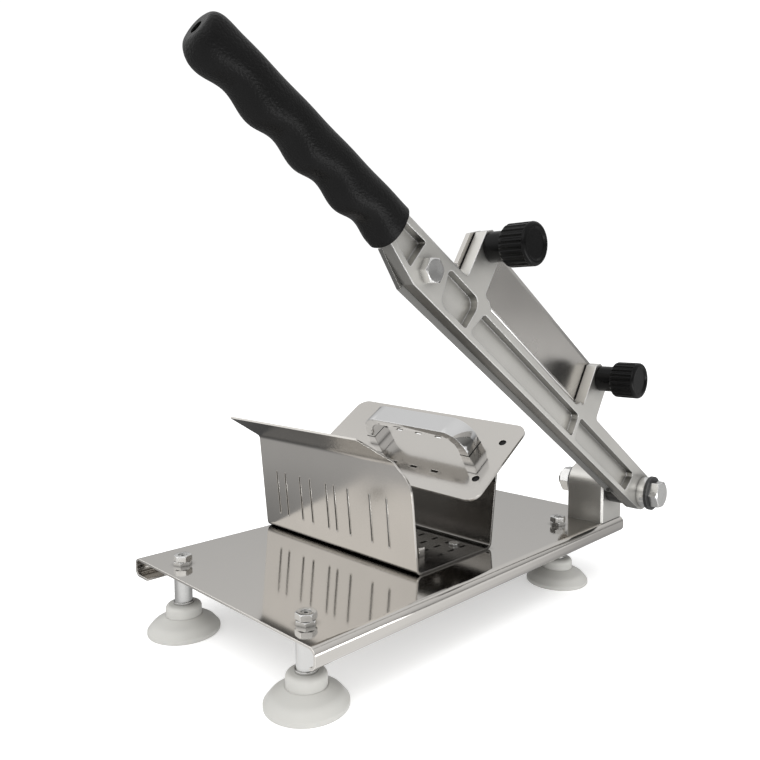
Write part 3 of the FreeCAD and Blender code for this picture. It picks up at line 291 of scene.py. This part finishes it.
# Shared effects, as node groups
def new_group(name, inputs, outputs):
    group = bpy.data.node_groups.new(name, "ShaderNodeTree")
    group.interface.new_socket(name="Vector", in_out="INPUT", socket_type="NodeSocketVector")
    for label, kind, default in inputs:
        socket = group.interface.new_socket(name=label, in_out="INPUT", socket_type=kind)
        socket.default_value = default
    for label, kind in outputs:
        group.interface.new_socket(name=label, in_out="OUTPUT", socket_type=kind)
    return group, group.nodes.new("NodeGroupInput"), group.nodes.new("NodeGroupOutput")


def make_smudges_group():
    """Handling marks: a value that wanders between low and high."""
    group, start, end = new_group(
        "smudges", [("Scale", "NodeSocketFloat", 30.0), ("Low", "NodeSocketFloat", 0.1),
                    ("High", "NodeSocketFloat", 0.2)],
        [("Value", "NodeSocketFloat")])
    value = noise(group, start.outputs["Vector"], start.outputs["Scale"], detail=6.0)
    result = map_range(group, value, *NOISE_MIDDLE, start.outputs["Low"], start.outputs["High"],
                       "SMOOTHERSTEP")
    group.links.new(result, end.inputs["Value"])


def make_tone_group():
    """A colour that drifts darker in soft clouds."""
    group, start, end = new_group(
        "tone", [("Color", "NodeSocketColor", (1, 1, 1, 1)), ("Scale", "NodeSocketFloat", 12.0),
                 ("Amount", "NodeSocketFloat", 0.1)],
        [("Color", "NodeSocketColor")])
    value = noise(group, start.outputs["Vector"], start.outputs["Scale"], detail=4.0)
    negative = calculate(group, "MULTIPLY", start.outputs["Amount"], -1.0)
    level = calculate(group, "MULTIPLY_ADD", value, negative, 1.0)
    darker = group.nodes.new("ShaderNodeVectorMath")
    darker.operation = "SCALE"
    group.links.new(start.outputs["Color"], darker.inputs[0])
    group.links.new(level, darker.inputs["Scale"])
    group.links.new(darker.outputs["Vector"], end.inputs["Color"])


def make_grain_group():
    """A fine surface relief over rounded edges, as a normal."""
    group, start, end = new_group(
        "grain", [("Scale", "NodeSocketFloat", 900.0), ("Strength", "NodeSocketFloat", 0.2),
                  ("Distance", "NodeSocketFloat", 0.0002), ("Normal", "NodeSocketVector", (0, 0, 0))],
        [("Normal", "NodeSocketVector")])
    value = noise(group, start.outputs["Vector"], start.outputs["Scale"], detail=1.0)
    bump = group.nodes.new("ShaderNodeBump")
    group.links.new(value, bump.inputs["Height"])
    for name in ("Strength", "Distance", "Normal"):
        group.links.new(start.outputs[name], bump.inputs[name])
    group.links.new(bump.outputs["Normal"], end.inputs["Normal"])


def make_edges_group():
    """Rounded edges: their normal, and a mask that is 1 where an edge turns."""
    group, start, end = new_group(
        "edges", [("Radius", "NodeSocketFloat", 0.0005)],
        [("Normal", "NodeSocketVector"), ("Mask", "NodeSocketFloat")])
    bevel = group.nodes.new("ShaderNodeBevel")
    bevel.samples = 4
    group.links.new(start.outputs["Radius"], bevel.inputs["Radius"])
    flat = group.nodes.new("ShaderNodeNewGeometry")
    match = measure(group, "DOT_PRODUCT", bevel.outputs["Normal"], flat.outputs["Normal"])
    group.links.new(bevel.outputs["Normal"], end.inputs["Normal"])
    group.links.new(map_range(group, match, *EDGE_MATCH), end.inputs["Mask"])


def make_painted_shade_group():
    """Painted shade in corners, from ambient occlusion, and on undersides: a level that a finish's
    colour is multiplied by.
    """
    group, start, end = new_group(
        "painted_shade", [("Reach", "NodeSocketFloat", 0.004), ("Corner", "NodeSocketFloat", 0.6),
                  ("Underside", "NodeSocketFloat", 1.0)],
        [("Color", "NodeSocketColor")])
    # Painted shade in corners, from ambient occlusion
    closed = group.nodes.new("ShaderNodeAmbientOcclusion")
    closed.samples = 4
    group.links.new(start.outputs["Reach"], closed.inputs["Distance"])
    corner = map_range(group, closed.outputs["AO"], *CORNER_OPEN, start.outputs["Corner"])
    geometry = group.nodes.new("ShaderNodeNewGeometry")
    split = group.nodes.new("ShaderNodeSeparateXYZ")
    group.links.new(geometry.outputs["Normal"], split.inputs[0])
    # Painted shade on faces that turn down
    below = map_range(group, split.outputs["Z"], *UNDERSIDE_TURN, start.outputs["Underside"])
    group.links.new(calculate(group, "MULTIPLY", corner, below), end.inputs["Color"])


def group_node(tree, name, vector, **values):
    """One use of a shared effect, with its own values."""
    node = tree.nodes.new("ShaderNodeGroup")
    node.node_tree = bpy.data.node_groups[name]
    tree.links.new(vector, node.inputs["Vector"])
    for label, value in values.items():
        feed(tree, node.inputs[label], value)
    return node


class SLICER_OT_effects(bpy.types.Operator):
    """Build the shared effects: smudges, tone, grain, edges and painted shade"""
    bl_idname = "slicer.effects"
    bl_label = "Shared Effects"

    def execute(self, context):
        make_smudges_group()
        make_tone_group()
        make_grain_group()
        make_edges_group()
        make_painted_shade_group()
        return {"FINISHED"}


# Materials
def new_material(name, stretch=(1, 1, 1), turn=(0, 0, 0)):
    """A material with its Principled shader and the piece's own coordinates, stretched."""
    material = bpy.data.materials.new(name)
    material.use_nodes = True
    tree = material.node_tree
    coordinates = tree.nodes.new("ShaderNodeTexCoord")
    mapping = tree.nodes.new("ShaderNodeMapping")
    mapping.inputs["Scale"].default_value = stretch
    mapping.inputs["Rotation"].default_value = turn
    tree.links.new(coordinates.outputs["Object"], mapping.inputs["Vector"])
    return material, tree, tree.nodes["Principled BSDF"], mapping.outputs["Vector"]


def give_skin(tree, shader, vector, rough, smudges, edges, relief):
    """Smudged gloss between two roughnesses, and a relief over rounded edges."""
    gloss = group_node(tree, "smudges", vector, Scale=smudges, Low=rough[0], High=rough[1])
    tree.links.new(gloss.outputs["Value"], shader.inputs["Roughness"])
    grain = group_node(tree, "grain", vector, Normal=edges.outputs["Normal"], **relief)
    tree.links.new(grain.outputs["Normal"], shader.inputs["Normal"])


def metal(name, color, rough, cloud, drift, relief, edge=0.0005, edge_highlight=0.35,
          painted_shade=LIGHT_PAINTED_SHADE, stretch=(1, 1, 1), turn=(0, 0, 0)):
    """A metal finish: drifting tone, smudged gloss, relief, a painted highlight on edges, and painted
    shade in corners and on undersides.
    """
    material, tree, shader, vector = new_material(name, stretch, turn)
    shader.inputs["Metallic"].default_value = 1.0
    tone = group_node(tree, "tone", vector, Color=(*color, 1.0), Scale=cloud, Amount=drift)
    edges = group_node(tree, "edges", vector, Radius=edge)
    # Painted highlight: the colour is lightened where an edge turns
    highlight_color = (*(min(1.0, level * (1.0 + edge_highlight)) for level in color), 1.0)
    bright = blend_color(tree, edges.outputs["Mask"], tone.outputs["Color"], highlight_color)
    # Painted shade: the colour is darkened in corners, from ambient occlusion, and on faces that turn
    # down
    shade_level = group_node(tree, "painted_shade", vector, **painted_shade)
    tree.links.new(blend_color(tree, 1.0, bright, shade_level.outputs["Color"], "MULTIPLY"),
                   shader.inputs["Base Color"])
    give_skin(tree, shader, vector, rough, cloud * SMUDGE_FINENESS, edges, relief)
    return material


def plastic(name, color, rough, relief, drift=0.2, specular=0.3):
    """A moulded plastic or rubber: even colour, faint drift and a grained skin."""
    material, tree, shader, vector = new_material(name)
    shader.inputs["Specular IOR Level"].default_value = specular
    tone = group_node(tree, "tone", vector, Color=(*color, 1.0), Scale=MOULDED_CLOUD,
                      Amount=drift)
    tree.links.new(tone.outputs["Color"], shader.inputs["Base Color"])
    edges = group_node(tree, "edges", vector, Radius=MOULDED_EDGE)
    give_skin(tree, shader, vector, rough, MOULDED_SMUDGES, edges, relief)
    return material


def relief_of(scale, strength, distance):
    return {"Scale": scale, "Strength": strength, "Distance": distance}


def painted_shade_of(reach, corner, underside):
    return {"Reach": reach, "Corner": corner, "Underside": underside}


def dress(material, *names):
    """Give CAD nodes a material."""
    for name in names:
        mesh = NODES[name].data
        mesh.materials.clear()
        mesh.materials.append(material)


def shade_inside(material, wall):
    """Paint shade on the tray's floor and far wall: their colour is made darker than the polished
    near wall's.
    """
    tree = material.node_tree
    shader = tree.nodes["Principled BSDF"]
    source = shader.inputs["Base Color"].links[0].from_socket
    split = tree.nodes.new("ShaderNodeSeparateXYZ")
    tree.links.new(tree.nodes["Texture Coordinate"].outputs["Object"], split.inputs[0])
    level = map_range(tree, split.outputs["X"], wall, wall + INSIDE_FADE, 1.0, INSIDE_SHADE)
    tree.links.new(blend_color(tree, 1.0, source, level, "MULTIPLY"), shader.inputs["Base Color"])


class SLICER_OT_sheet_steel(bpy.types.Operator):
    """Polished sheet: the base, the tray, the pusher and the thickness plate"""
    bl_idname = "slicer.sheet_steel"
    bl_label = "Polished Sheet"

    def execute(self, context):
        color = context.scene.slicer_finishes.sheet_color
        base = metal("mirror_base", color, rough=(0.05, 0.10), cloud=9.0, drift=0.08,
                     relief=relief_of(7.0, 0.05, 0.002), edge=0.0008)
        dress(base, "base_plate")
        tray = metal("folded_tray", color, rough=(0.13, 0.20), cloud=14.0, drift=0.16,
                     relief=relief_of(9.0, 0.06, 0.002), edge=0.0006,
                     painted_shade=painted_shade_of(0.003, 0.25, 0.6))
        # Painted shade: the inside of the tray is darker than its near wall
        shade_inside(tray, context.scene.slicer_pieces.wall_foot)
        dress(tray, "meat_tray")
        pusher = metal("pusher_polish", color, rough=(0.10, 0.16), cloud=14.0, drift=0.08,
                       relief=relief_of(9.0, 0.06, 0.002), edge=0.0006)
        dress(pusher, "pusher_plate")
        metal("lip_polish", color, rough=(0.10, 0.18), cloud=60.0, drift=0.08,
              relief=relief_of(300.0, 0.03, 0.0001), edge=0.0002)
        gauge = metal("gauge_polish", color, rough=(0.22, 0.30), cloud=10.0, drift=0.26,
                      relief=relief_of(9.0, 0.03, 0.001), edge=0.0006)
        dress(gauge, "thickness_plate")
        return {"FINISHED"}


class SLICER_OT_castings(bpy.types.Operator):
    """Tumbled castings: the lever and the post, and the ground blade"""
    bl_idname = "slicer.castings"
    bl_label = "Castings and Blade"

    def execute(self, context):
        finishes = context.scene.slicer_finishes
        casting = metal("tumbled_casting", finishes.cast_color, rough=(0.34, 0.44), cloud=18.0,
                        drift=0.22, relief=relief_of(260.0, 0.10, 0.0002), edge=0.0009, edge_highlight=0.5,
                        painted_shade=painted_shade_of(0.010, 0.50, 0.45))
        dress(casting, "lever_arm", "pivot_post")
        metal("spine_polish", finishes.spine_color, rough=(0.12, 0.20), cloud=40.0, drift=0.05,
              relief=relief_of(300.0, 0.03, 0.0001), edge=0.0003)
        blade = metal("ground_blade", finishes.blade_color, rough=(0.16, 0.28), cloud=40.0,
                      drift=0.10, relief=relief_of(300.0, 0.10, 0.0002), edge=0.0003, edge_highlight=0.3,
                      painted_shade=painted_shade_of(0.004, 0.4, 0.6), stretch=(1, 1, 6),
                      turn=(0, LEVER_ANGLE, 0))
        dress(blade, "blade")
        return {"FINISHED"}


class SLICER_OT_fasteners(bpy.types.Operator):
    """Bright, dark and brass turned pieces, and the chromed handle"""
    bl_idname = "slicer.fasteners"
    bl_label = "Fasteners"

    def execute(self, context):
        finishes = context.scene.slicer_finishes
        turned = metal("turned_steel", finishes.steel_color, rough=(0.14, 0.24), cloud=90.0,
                       drift=0.15, relief=relief_of(500.0, 0.06, 0.0001), edge_highlight=0.3)
        dress(turned, "foot_nuts", "foot_sleeves", "foot_washers", "pivot_bolt", "pivot_spacer",
              "pivot_nut", "tray_screws", "blade_bolt", "blade_nut")
        plated = metal("plated_steel", finishes.steel_color, rough=(0.22, 0.34), cloud=90.0,
                       drift=0.2, relief=relief_of(500.0, 0.08, 0.0001), edge=0.0004, edge_highlight=0.2)
        dress(plated, "foot_studs", "post_screws", "tray_nuts", "gauge_studs", "pusher_screws")
        dark = metal("dark_steel", finishes.dark_color, rough=(0.28, 0.42), cloud=90.0,
                     drift=0.3, relief=relief_of(500.0, 0.08, 0.0001), edge_highlight=1.0)
        dress(dark, "pivot_washers", "pivot_bush")
        brass = metal("insert_brass", finishes.brass_color, rough=(0.2, 0.3), cloud=90.0,
                      drift=0.15, relief=relief_of(500.0, 0.08, 0.0001), edge=0.0004, edge_highlight=0.3)
        dress(brass, "knob_insert_upper", "knob_insert_lower")
        chrome = metal("handle_chrome", finishes.chrome_color, rough=(0.03, 0.07), cloud=30.0,
                       drift=0.05, relief=relief_of(30.0, 0.02, 0.001), edge=0.0010, edge_highlight=0.2)
        dress(chrome, "pusher_handle")
        return {"FINISHED"}


class SLICER_OT_mouldings(bpy.types.Operator):
    """Black grip and knobs, and the soft grey suction cups"""
    bl_idname = "slicer.mouldings"
    bl_label = "Plastic and Rubber"

    def execute(self, context):
        finishes = context.scene.slicer_finishes
        grip = plastic("grip_plastic", finishes.black_color, rough=(0.36, 0.44),
                       relief=relief_of(900.0, 1.0, 0.0003), specular=0.18)
        dress(grip, "grip")
        knob = plastic("knob_plastic", finishes.black_color, rough=(0.18, 0.26),
                       relief=relief_of(900.0, 0.10, 0.0001), specular=0.15)
        dress(knob, "knob_upper", "knob_lower")
        # Dark rubber for the handle's seams, also used for the dark discs that paint shade into the
        # pusher's holes
        plastic("dark_rubber_and_hole_shade", finishes.black_color, rough=(0.40, 0.55),
                relief=relief_of(400.0, 0.05, 0.0001))
        cup = plastic("cup_rubber", finishes.rubber_color, rough=(0.32, 0.44),
                      relief=relief_of(300.0, 0.06, 0.0002), drift=0.08, specular=0.4)
        dress(cup, "suction_cups")
        return {"FINISHED"}


# New pieces, each modelled about the origin, then set in place
def start_piece():
    """Leave edit mode, and select nothing."""
    if bpy.context.object:
        bpy.ops.object.mode_set(mode="OBJECT")
    bpy.ops.object.select_all(action="DESELECT")


def start_edges(piece):
    """Enter edit mode on a piece with nothing selected, and give its editable mesh."""
    bpy.ops.object.mode_set(mode="EDIT")
    bpy.ops.mesh.select_all(action="DESELECT")
    return bmesh.from_edit_mesh(piece.data)


def shape_edges(piece, chosen, width, segments=3):
    """Bevel the edges of the active piece that chosen(middle, edge vector) picks."""
    mesh = start_edges(piece)
    bpy.ops.mesh.select_mode(type="EDGE")
    for edge in mesh.edges:
        first, second = (vertex.co for vertex in edge.verts)
        edge.select_set(chosen((first + second) / 2, second - first))
    bmesh.update_edit_mesh(piece.data)
    bpy.ops.mesh.bevel(offset=width, segments=segments)
    bpy.ops.object.mode_set(mode="OBJECT")


def is_level(edge):
    return abs(edge.z) < NEAR


def add_block(size):
    """A block about the origin, with its size in its mesh."""
    bpy.ops.mesh.primitive_cube_add(size=1, scale=size)
    bpy.ops.object.transform_apply(location=False, rotation=False, scale=True)
    return bpy.context.object


def set_down(piece, places):
    """Copy a piece, with its own mesh, to each place, and join the copies at the origin."""
    copies = []
    for place in places:
        copy = piece.copy()
        copy.data = piece.data.copy()
        copy.data.transform(place)
        copy.matrix_world = Matrix()
        bpy.context.scene.collection.objects.link(copy)
        copies.append(copy)
    bpy.data.objects.remove(piece)
    bpy.ops.object.select_all(action="DESELECT")
    for copy in copies:
        copy.select_set(True)
    bpy.context.view_layer.objects.active = copies[0]
    if len(copies) > 1:
        bpy.ops.object.join()
    return bpy.context.object


def finish_piece(piece, name, body, material, angle=35.0, stands_for=()):
    """Name, smooth, paint and attach a finished piece."""
    piece.name = name
    bpy.ops.object.select_all(action="DESELECT")
    piece.select_set(True)
    bpy.context.view_layer.objects.active = piece
    bpy.ops.object.shade_smooth_by_angle(angle=math.radians(angle))
    piece.data.materials.clear()
    piece.data.materials.append(bpy.data.materials[material])
    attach(piece, body)
    if stands_for:
        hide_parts(*stands_for)
    piece.select_set(False)


def cut_with(piece, tool, operation):
    """Cut a piece with a tool, and take the tool away."""
    cut = piece.modifiers.new("cut", "BOOLEAN")
    cut.operation = operation
    cut.object = tool
    bpy.context.view_layer.objects.active = piece
    bpy.ops.object.modifier_apply(modifier=cut.name)
    bpy.data.objects.remove(tool)


def stud_places():
    """The middle of each of the four foot studs, from the studs' own corners."""
    low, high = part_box("foot_studs")
    middle = (Vector(low) + Vector(high)) / 2
    corners = {}
    for vertex in NODES["foot_studs"].data.vertices:
        side = (vertex.co.x > middle.x, vertex.co.y > middle.y)
        corners.setdefault(side, []).append(vertex.co)
    return [sum(points, Vector()) / len(points) for points in corners.values()]


def nut_places(sizes):
    """The lower and the upper nut of each foot stud, in the height that the nuts have."""
    low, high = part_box("foot_nuts")
    height = (high[2] - low[2]) * (1 - sizes.nut_seam)
    lower = height * sizes.nut_share
    upper = height - lower
    places = []
    for number, stud in enumerate(stud_places()):
        for tall, middle, turn in ((lower, low[2] + lower / 2, LOWER_NUT_TURN),
                                   (upper, high[2] - upper / 2, UPPER_NUT_TURN)):
            places.append(Matrix.Translation((stud.x, stud.y, middle))
                          @ Matrix.Rotation(turn + number * NUT_TURN_STEP, 4, "Z")
                          @ Matrix.Diagonal((1, 1, tall / sizes.nut_height, 1)))
    return places


class SLICER_OT_foot_nuts(bpy.types.Operator):
    """Thin hex nuts with turned chamfers, two on each foot stud"""
    bl_idname = "slicer.foot_nuts"
    bl_label = "Foot Nuts"

    def execute(self, context):
        sizes = context.scene.slicer_pieces
        start_piece()
        corner = sizes.nut_across / math.sqrt(3)
        bpy.ops.mesh.primitive_cylinder_add(vertices=6, radius=corner, depth=sizes.nut_height)
        nut = context.object
        bpy.ops.mesh.primitive_cylinder_add(vertices=64, radius=corner * TOOL_MARGIN,
                                            depth=sizes.nut_height)
        turned = context.object
        top = sizes.nut_height / 2
        shape_edges(turned, lambda middle, along: abs(middle.z - top) < NEAR and is_level(along),
                    sizes.nut_chamfer, segments=5)
        cut_with(nut, turned, "INTERSECT")
        bpy.ops.mesh.primitive_cylinder_add(vertices=32, radius=sizes.stud_radius,
                                            depth=sizes.nut_height * 2)
        cut_with(nut, context.object, "DIFFERENCE")
        finish_piece(set_down(nut, nut_places(sizes)), "foot_nuts_chamfered", "base",
                     "turned_steel", angle=25.0, stands_for=("foot_nuts",))
        return {"FINISHED"}


def make_slot_lips(sizes, floor):
    """A ring drawn out into a slot's lip, on the near wall at each slot."""
    start_piece()
    bpy.ops.mesh.primitive_torus_add(
        major_radius=sizes.lip_radius, minor_radius=sizes.lip_thickness,
        major_segments=20, minor_segments=8, rotation=(0, math.pi / 2, 0))
    lip = bpy.context.object
    bpy.ops.object.transform_apply(location=False, rotation=True, scale=True)
    for vertex in start_edges(lip).verts:
        vertex.select_set(vertex.co.z > NEAR)
    bmesh.update_edit_mesh(lip.data)
    bpy.ops.transform.translate(value=(0, 0, sizes.slot_high - sizes.slot_low))
    bpy.ops.object.mode_set(mode="OBJECT")
    foot = sizes.wall_foot - (sizes.slot_low - floor) * math.tan(sizes.wall_lean)
    places = [Matrix.Translation((foot, place, sizes.slot_low))
              @ Matrix.Rotation(-sizes.wall_lean, 4, "Y") for place in SLOT_PLACES]
    finish_piece(set_down(lip, places), "slot_lips", "base", "lip_polish", angle=60.0)


def make_tray_stop(sizes, floor):
    """The small stop that stands on the tray's floor."""
    start_piece()
    stop = add_block((sizes.stop_width, sizes.stop_sheet, sizes.stop_height))
    shape_edges(stop, lambda middle, along: middle.z > 0, sizes.stop_rounding)
    height = floor + sizes.tray_sheet + sizes.stop_height / 2
    place = Matrix.Translation((*sizes.stop_place, height))
    finish_piece(set_down(stop, [place]), "tray_stop", "base", "lip_polish")


class SLICER_OT_tray_details(bpy.types.Operator):
    """Raised lips round the near wall's slots, and the small stop on the floor"""
    bl_idname = "slicer.tray_details"
    bl_label = "Tray Details"

    def execute(self, context):
        sizes = context.scene.slicer_pieces
        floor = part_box("meat_tray")[0][2]
        make_slot_lips(sizes, floor)
        make_tray_stop(sizes, floor)
        return {"FINISHED"}


def on_lever(along, above, depth):
    """A place on the lever, along it from the pivot and above its middle line."""
    sine, cosine = math.sin(LEVER_ANGLE), math.cos(LEVER_ANGLE)
    return Vector((LEVER_PIVOT.x - along * cosine + above * sine, depth,
                   LEVER_PIVOT.z + along * sine + above * cosine))


class SLICER_OT_blade_spine(bpy.types.Operator):
    """The blade's bright, rounded spine between the lugs"""
    bl_idname = "slicer.blade_spine"
    bl_label = "Blade Spine"

    def execute(self, context):
        sizes = context.scene.slicer_pieces
        start_piece()
        length = sizes.spine_end - sizes.spine_start
        bpy.ops.mesh.primitive_cylinder_add(vertices=16, radius=sizes.spine_radius, depth=length)
        spine = context.object
        shape_edges(spine, lambda middle, along: abs(abs(middle.z) - length / 2) < NEAR,
                    sizes.spine_rounding, segments=4)
        middle = on_lever((sizes.spine_start + sizes.spine_end) / 2, sizes.spine_above,
                          sizes.spine_depth)
        turn = Matrix.Rotation(LEVER_ANGLE - math.pi / 2, 4, "Y")
        finish_piece(set_down(spine, [Matrix.Translation(middle) @ turn]), "blade_spine",
                     "lever", "spine_polish", angle=50.0)
        return {"FINISHED"}


def make_hole_shade_discs(sizes, pusher):
    """A dark disc, rounded on top, in each of the pusher's two front holes: painted shade seen
    through the holes.
    """
    start_piece()
    bpy.ops.mesh.primitive_cylinder_add(vertices=32, radius=sizes.shade_disc_radius,
                                        depth=sizes.shade_disc_height)
    shade_disc = bpy.context.object
    shape_edges(shade_disc, lambda middle, along: middle.z > 0 and is_level(along),
                sizes.shade_disc_rounding)
    places = [pusher @ Matrix.Translation((side, sizes.shade_disc_along, sizes.shade_disc_rise))
              for side in (-sizes.shade_disc_side, sizes.shade_disc_side)]
    finish_piece(set_down(shade_disc, places), "pusher_hole_shade_discs", "pusher", "dark_rubber_and_hole_shade")


def make_seams(sizes, pusher):
    """A dark seam round each foot of the pusher's handle."""
    start_piece()
    seam = add_block(sizes.seam_size)
    shape_edges(seam, lambda middle, along: True, sizes.seam_rounding, segments=2)
    places = [pusher @ Matrix.Translation((0, place, sizes.seam_rise)) for place in SEAM_PLACES]
    finish_piece(set_down(seam, places), "handle_seams", "pusher", "dark_rubber_and_hole_shade")


def round_handle(sizes):
    """Round the chromed handle's edges, after its loose triangles are joined."""
    handle = NODES["pusher_handle"]
    weld = handle.modifiers.new("weld", "WELD")
    weld.merge_threshold = sizes.weld_distance
    rounded = handle.modifiers.new("rounded_edges", "BEVEL")
    rounded.width = sizes.handle_rounding
    rounded.segments = 3
    rounded.angle_limit = sizes.handle_corner
    rounded.harden_normals = True


class SLICER_OT_pusher_details(bpy.types.Operator):
    """Dark discs in the pusher's holes as painted shade, and its handle's seams and rounded edges"""
    bl_idname = "slicer.pusher_details"
    bl_label = "Pusher Details"

    def execute(self, context):
        sizes = context.scene.slicer_pieces
        pusher = (Matrix.Translation(sizes.pusher_place)
                  @ Matrix.Rotation(-sizes.pusher_tilt, 4, "Y")
                  @ Matrix.Rotation(sizes.pusher_droop, 4, "X"))
        make_hole_shade_discs(sizes, pusher)
        make_seams(sizes, pusher)
        round_handle(sizes)
        return {"FINISHED"}


# Studio
def area_light(name, place, target, size, power):
    """A soft rectangular light that looks at a point."""
    data = bpy.data.lights.new(name, "AREA")
    data.shape = "RECTANGLE"
    data.size, data.size_y = size
    data.energy = power
    light = bpy.data.objects.new(name, data)
    bpy.context.scene.collection.objects.link(light)
    light.location = place
    light.rotation_euler = (Vector(target) - Vector(place)).to_track_quat("-Z", "Y").to_euler()
    return light


def grey_ramp(tree, source, stops):
    """A grey that follows a value through the stops, as (place, level) pairs."""
    ramp = tree.nodes.new("ShaderNodeValToRGB")
    elements = ramp.color_ramp.elements
    for element, (place, level) in zip(elements, (stops[0], stops[-1])):
        element.position = place
        element.color = (level, level, level, 1)
    for place, level in stops[1:-1]:
        elements.new(place).color = (level, level, level, 1)
    tree.links.new(source, ramp.inputs["Fac"])
    return ramp.outputs["Color"]


def show_to_metal(tree, plain, seen, output):
    """Give the second shader to glossy rays, and the first to all the others."""
    path = tree.nodes.new("ShaderNodeLightPath")
    mix = tree.nodes.new("ShaderNodeMixShader")
    tree.links.new(path.outputs["Is Glossy Ray"], mix.inputs["Fac"])
    tree.links.new(plain.outputs[0], mix.inputs[1])
    tree.links.new(seen.outputs[0], mix.inputs[2])
    tree.links.new(mix.outputs[0], output.inputs["Surface"])


def studio_world(studio):
    """An even dome to matt surfaces and to the camera, and a room to the metal."""
    world = bpy.data.worlds.new("studio")
    bpy.context.scene.world = world
    world.use_nodes = True
    tree = world.node_tree
    tree.nodes.clear()
    around = tree.nodes.new("ShaderNodeTexCoord").outputs["Generated"]
    split = tree.nodes.new("ShaderNodeSeparateXYZ")
    tree.links.new(around, split.inputs[0])
    level = grey_ramp(tree, split.outputs["Z"], ROOM_HEIGHTS)
    for side, stops in ((studio.window_side, ROOM_WINDOW), (studio.wall_side, ROOM_WALL)):
        glow = grey_ramp(tree, measure(tree, "DOT_PRODUCT", around, side), stops)
        level = blend_color(tree, 1.0, level, glow, "ADD")
    room = tree.nodes.new("ShaderNodeBackground")
    tree.links.new(level, room.inputs["Color"])
    dome = tree.nodes.new("ShaderNodeBackground")
    dome.inputs["Color"].default_value = (1, 1, 1, 1)
    dome.inputs["Strength"].default_value = studio.dome_light
    show_to_metal(tree, dome, room, tree.nodes.new("ShaderNodeOutputWorld"))


def studio_floor(studio):
    """A pale floor that is bright in front of the slicer and dim behind it, in the metal."""
    bpy.ops.mesh.primitive_plane_add(size=studio.floor_size)
    floor = bpy.context.object
    floor.name = "studio_floor"
    material, tree, shader, vector = new_material("floor_paint")
    tone = group_node(tree, "tone", vector, Color=(*studio.floor_color, 1.0), Scale=2.0,
                      Amount=0.01)
    tree.links.new(tone.outputs["Color"], shader.inputs["Base Color"])
    shader.inputs["Roughness"].default_value = 1.0
    shader.inputs["Specular IOR Level"].default_value = 0.0
    shader.inputs["Emission Color"].default_value = (1, 1, 1, 1)
    shader.inputs["Emission Strength"].default_value = studio.floor_glow
    across = map_range(tree, measure(tree, "DOT_PRODUCT", vector, studio.floor_run),
                       -studio.floor_reach, studio.floor_reach)
    away = measure(tree, "DISTANCE", vector, studio.dim_place)
    level = blend_color(tree, 1.0, grey_ramp(tree, across, FLOOR_LEVELS),
                        grey_ramp(tree, away, DIM_PATCH), "MULTIPLY")
    seen = tree.nodes.new("ShaderNodeEmission")
    tree.links.new(level, seen.inputs["Color"])
    show_to_metal(tree, shader, seen, tree.nodes["Material Output"])
    floor.data.materials.append(material)


def studio_lights(studio):
    """A key light above, and a low light in front that only surfaces see."""
    key = area_light("key_light", studio.key_place, studio.key_target, studio.key_size,
                     studio.key_power)
    key.visible_glossy = False
    band = area_light("band_light", studio.band_place, studio.band_target, studio.band_size,
                      studio.band_power)
    band.visible_camera = False


def studio_camera(studio):
    """The camera, at the photo's place, heading and dip."""
    data = bpy.data.cameras.new("camera")
    data.lens = studio.camera_lens
    data.sensor_width = studio.camera_sensor
    data.shift_x, data.shift_y = studio.camera_shift
    camera = bpy.data.objects.new("camera", data)
    bpy.context.scene.collection.objects.link(camera)
    heading, dip = studio.camera_heading, studio.camera_dip
    forward = Vector((math.cos(dip) * math.cos(heading), math.cos(dip) * math.sin(heading),
                      -math.sin(dip)))
    camera.location = studio.camera_place
    camera.rotation_euler = forward.to_track_quat("-Z", "Y").to_euler()
    bpy.context.scene.camera = camera


class SLICER_OT_stage(bpy.types.Operator):
    """Pale floor, soft lights and the camera"""
    bl_idname = "slicer.stage"
    bl_label = "Stage"

    def execute(self, context):
        studio = context.scene.slicer_studio
        start_piece()
        studio_floor(studio)
        studio_world(studio)
        studio_lights(studio)
        studio_camera(studio)
        context.scene.view_settings.view_transform = "Standard"
        return {"FINISHED"}


OPERATORS = (
    SLICER_OT_effects,
    SLICER_OT_sheet_steel,
    SLICER_OT_castings,
    SLICER_OT_fasteners,
    SLICER_OT_mouldings,
    SLICER_OT_foot_nuts,
    SLICER_OT_tray_details,
    SLICER_OT_blade_spine,
    SLICER_OT_pusher_details,
    SLICER_OT_stage,
)


class SLICER_PT_panel(bpy.types.Panel):
    """Lists the slicer's steps and settings"""
    bl_idname = "SLICER_PT_panel"
    bl_label = "Lever Meat Slicer"
    bl_space_type = "VIEW_3D"
    bl_region_type = "UI"
    bl_category = "Slicer"

    def draw(self, context):
        for operator in OPERATORS:
            self.layout.operator(operator.bl_idname)
        scene = context.scene
        for settings in (scene.slicer_studio, scene.slicer_finishes, scene.slicer_pieces):
            for name in settings.__annotations__:
                self.layout.prop(settings, name)


CLASSES = (SlicerStudio, SlicerFinishes, SlicerPieces, *OPERATORS, SLICER_PT_panel)


def register():
    for cls in CLASSES:
        bpy.utils.register_class(cls)
    bpy.types.Scene.slicer_studio = bpy.props.PointerProperty(type=SlicerStudio)
    bpy.types.Scene.slicer_finishes = bpy.props.PointerProperty(type=SlicerFinishes)
    bpy.types.Scene.slicer_pieces = bpy.props.PointerProperty(type=SlicerPieces)


def unregister():
    del bpy.types.Scene.slicer_pieces
    del bpy.types.Scene.slicer_finishes
    del bpy.types.Scene.slicer_studio
    for cls in reversed(CLASSES):
        bpy.utils.unregister_class(cls)


def main():
    register()
    for operator in OPERATORS:
        family, name = operator.bl_idname.split(".")
        getattr(getattr(bpy.ops, family), name)()


if __name__ == "__main__":
    main()
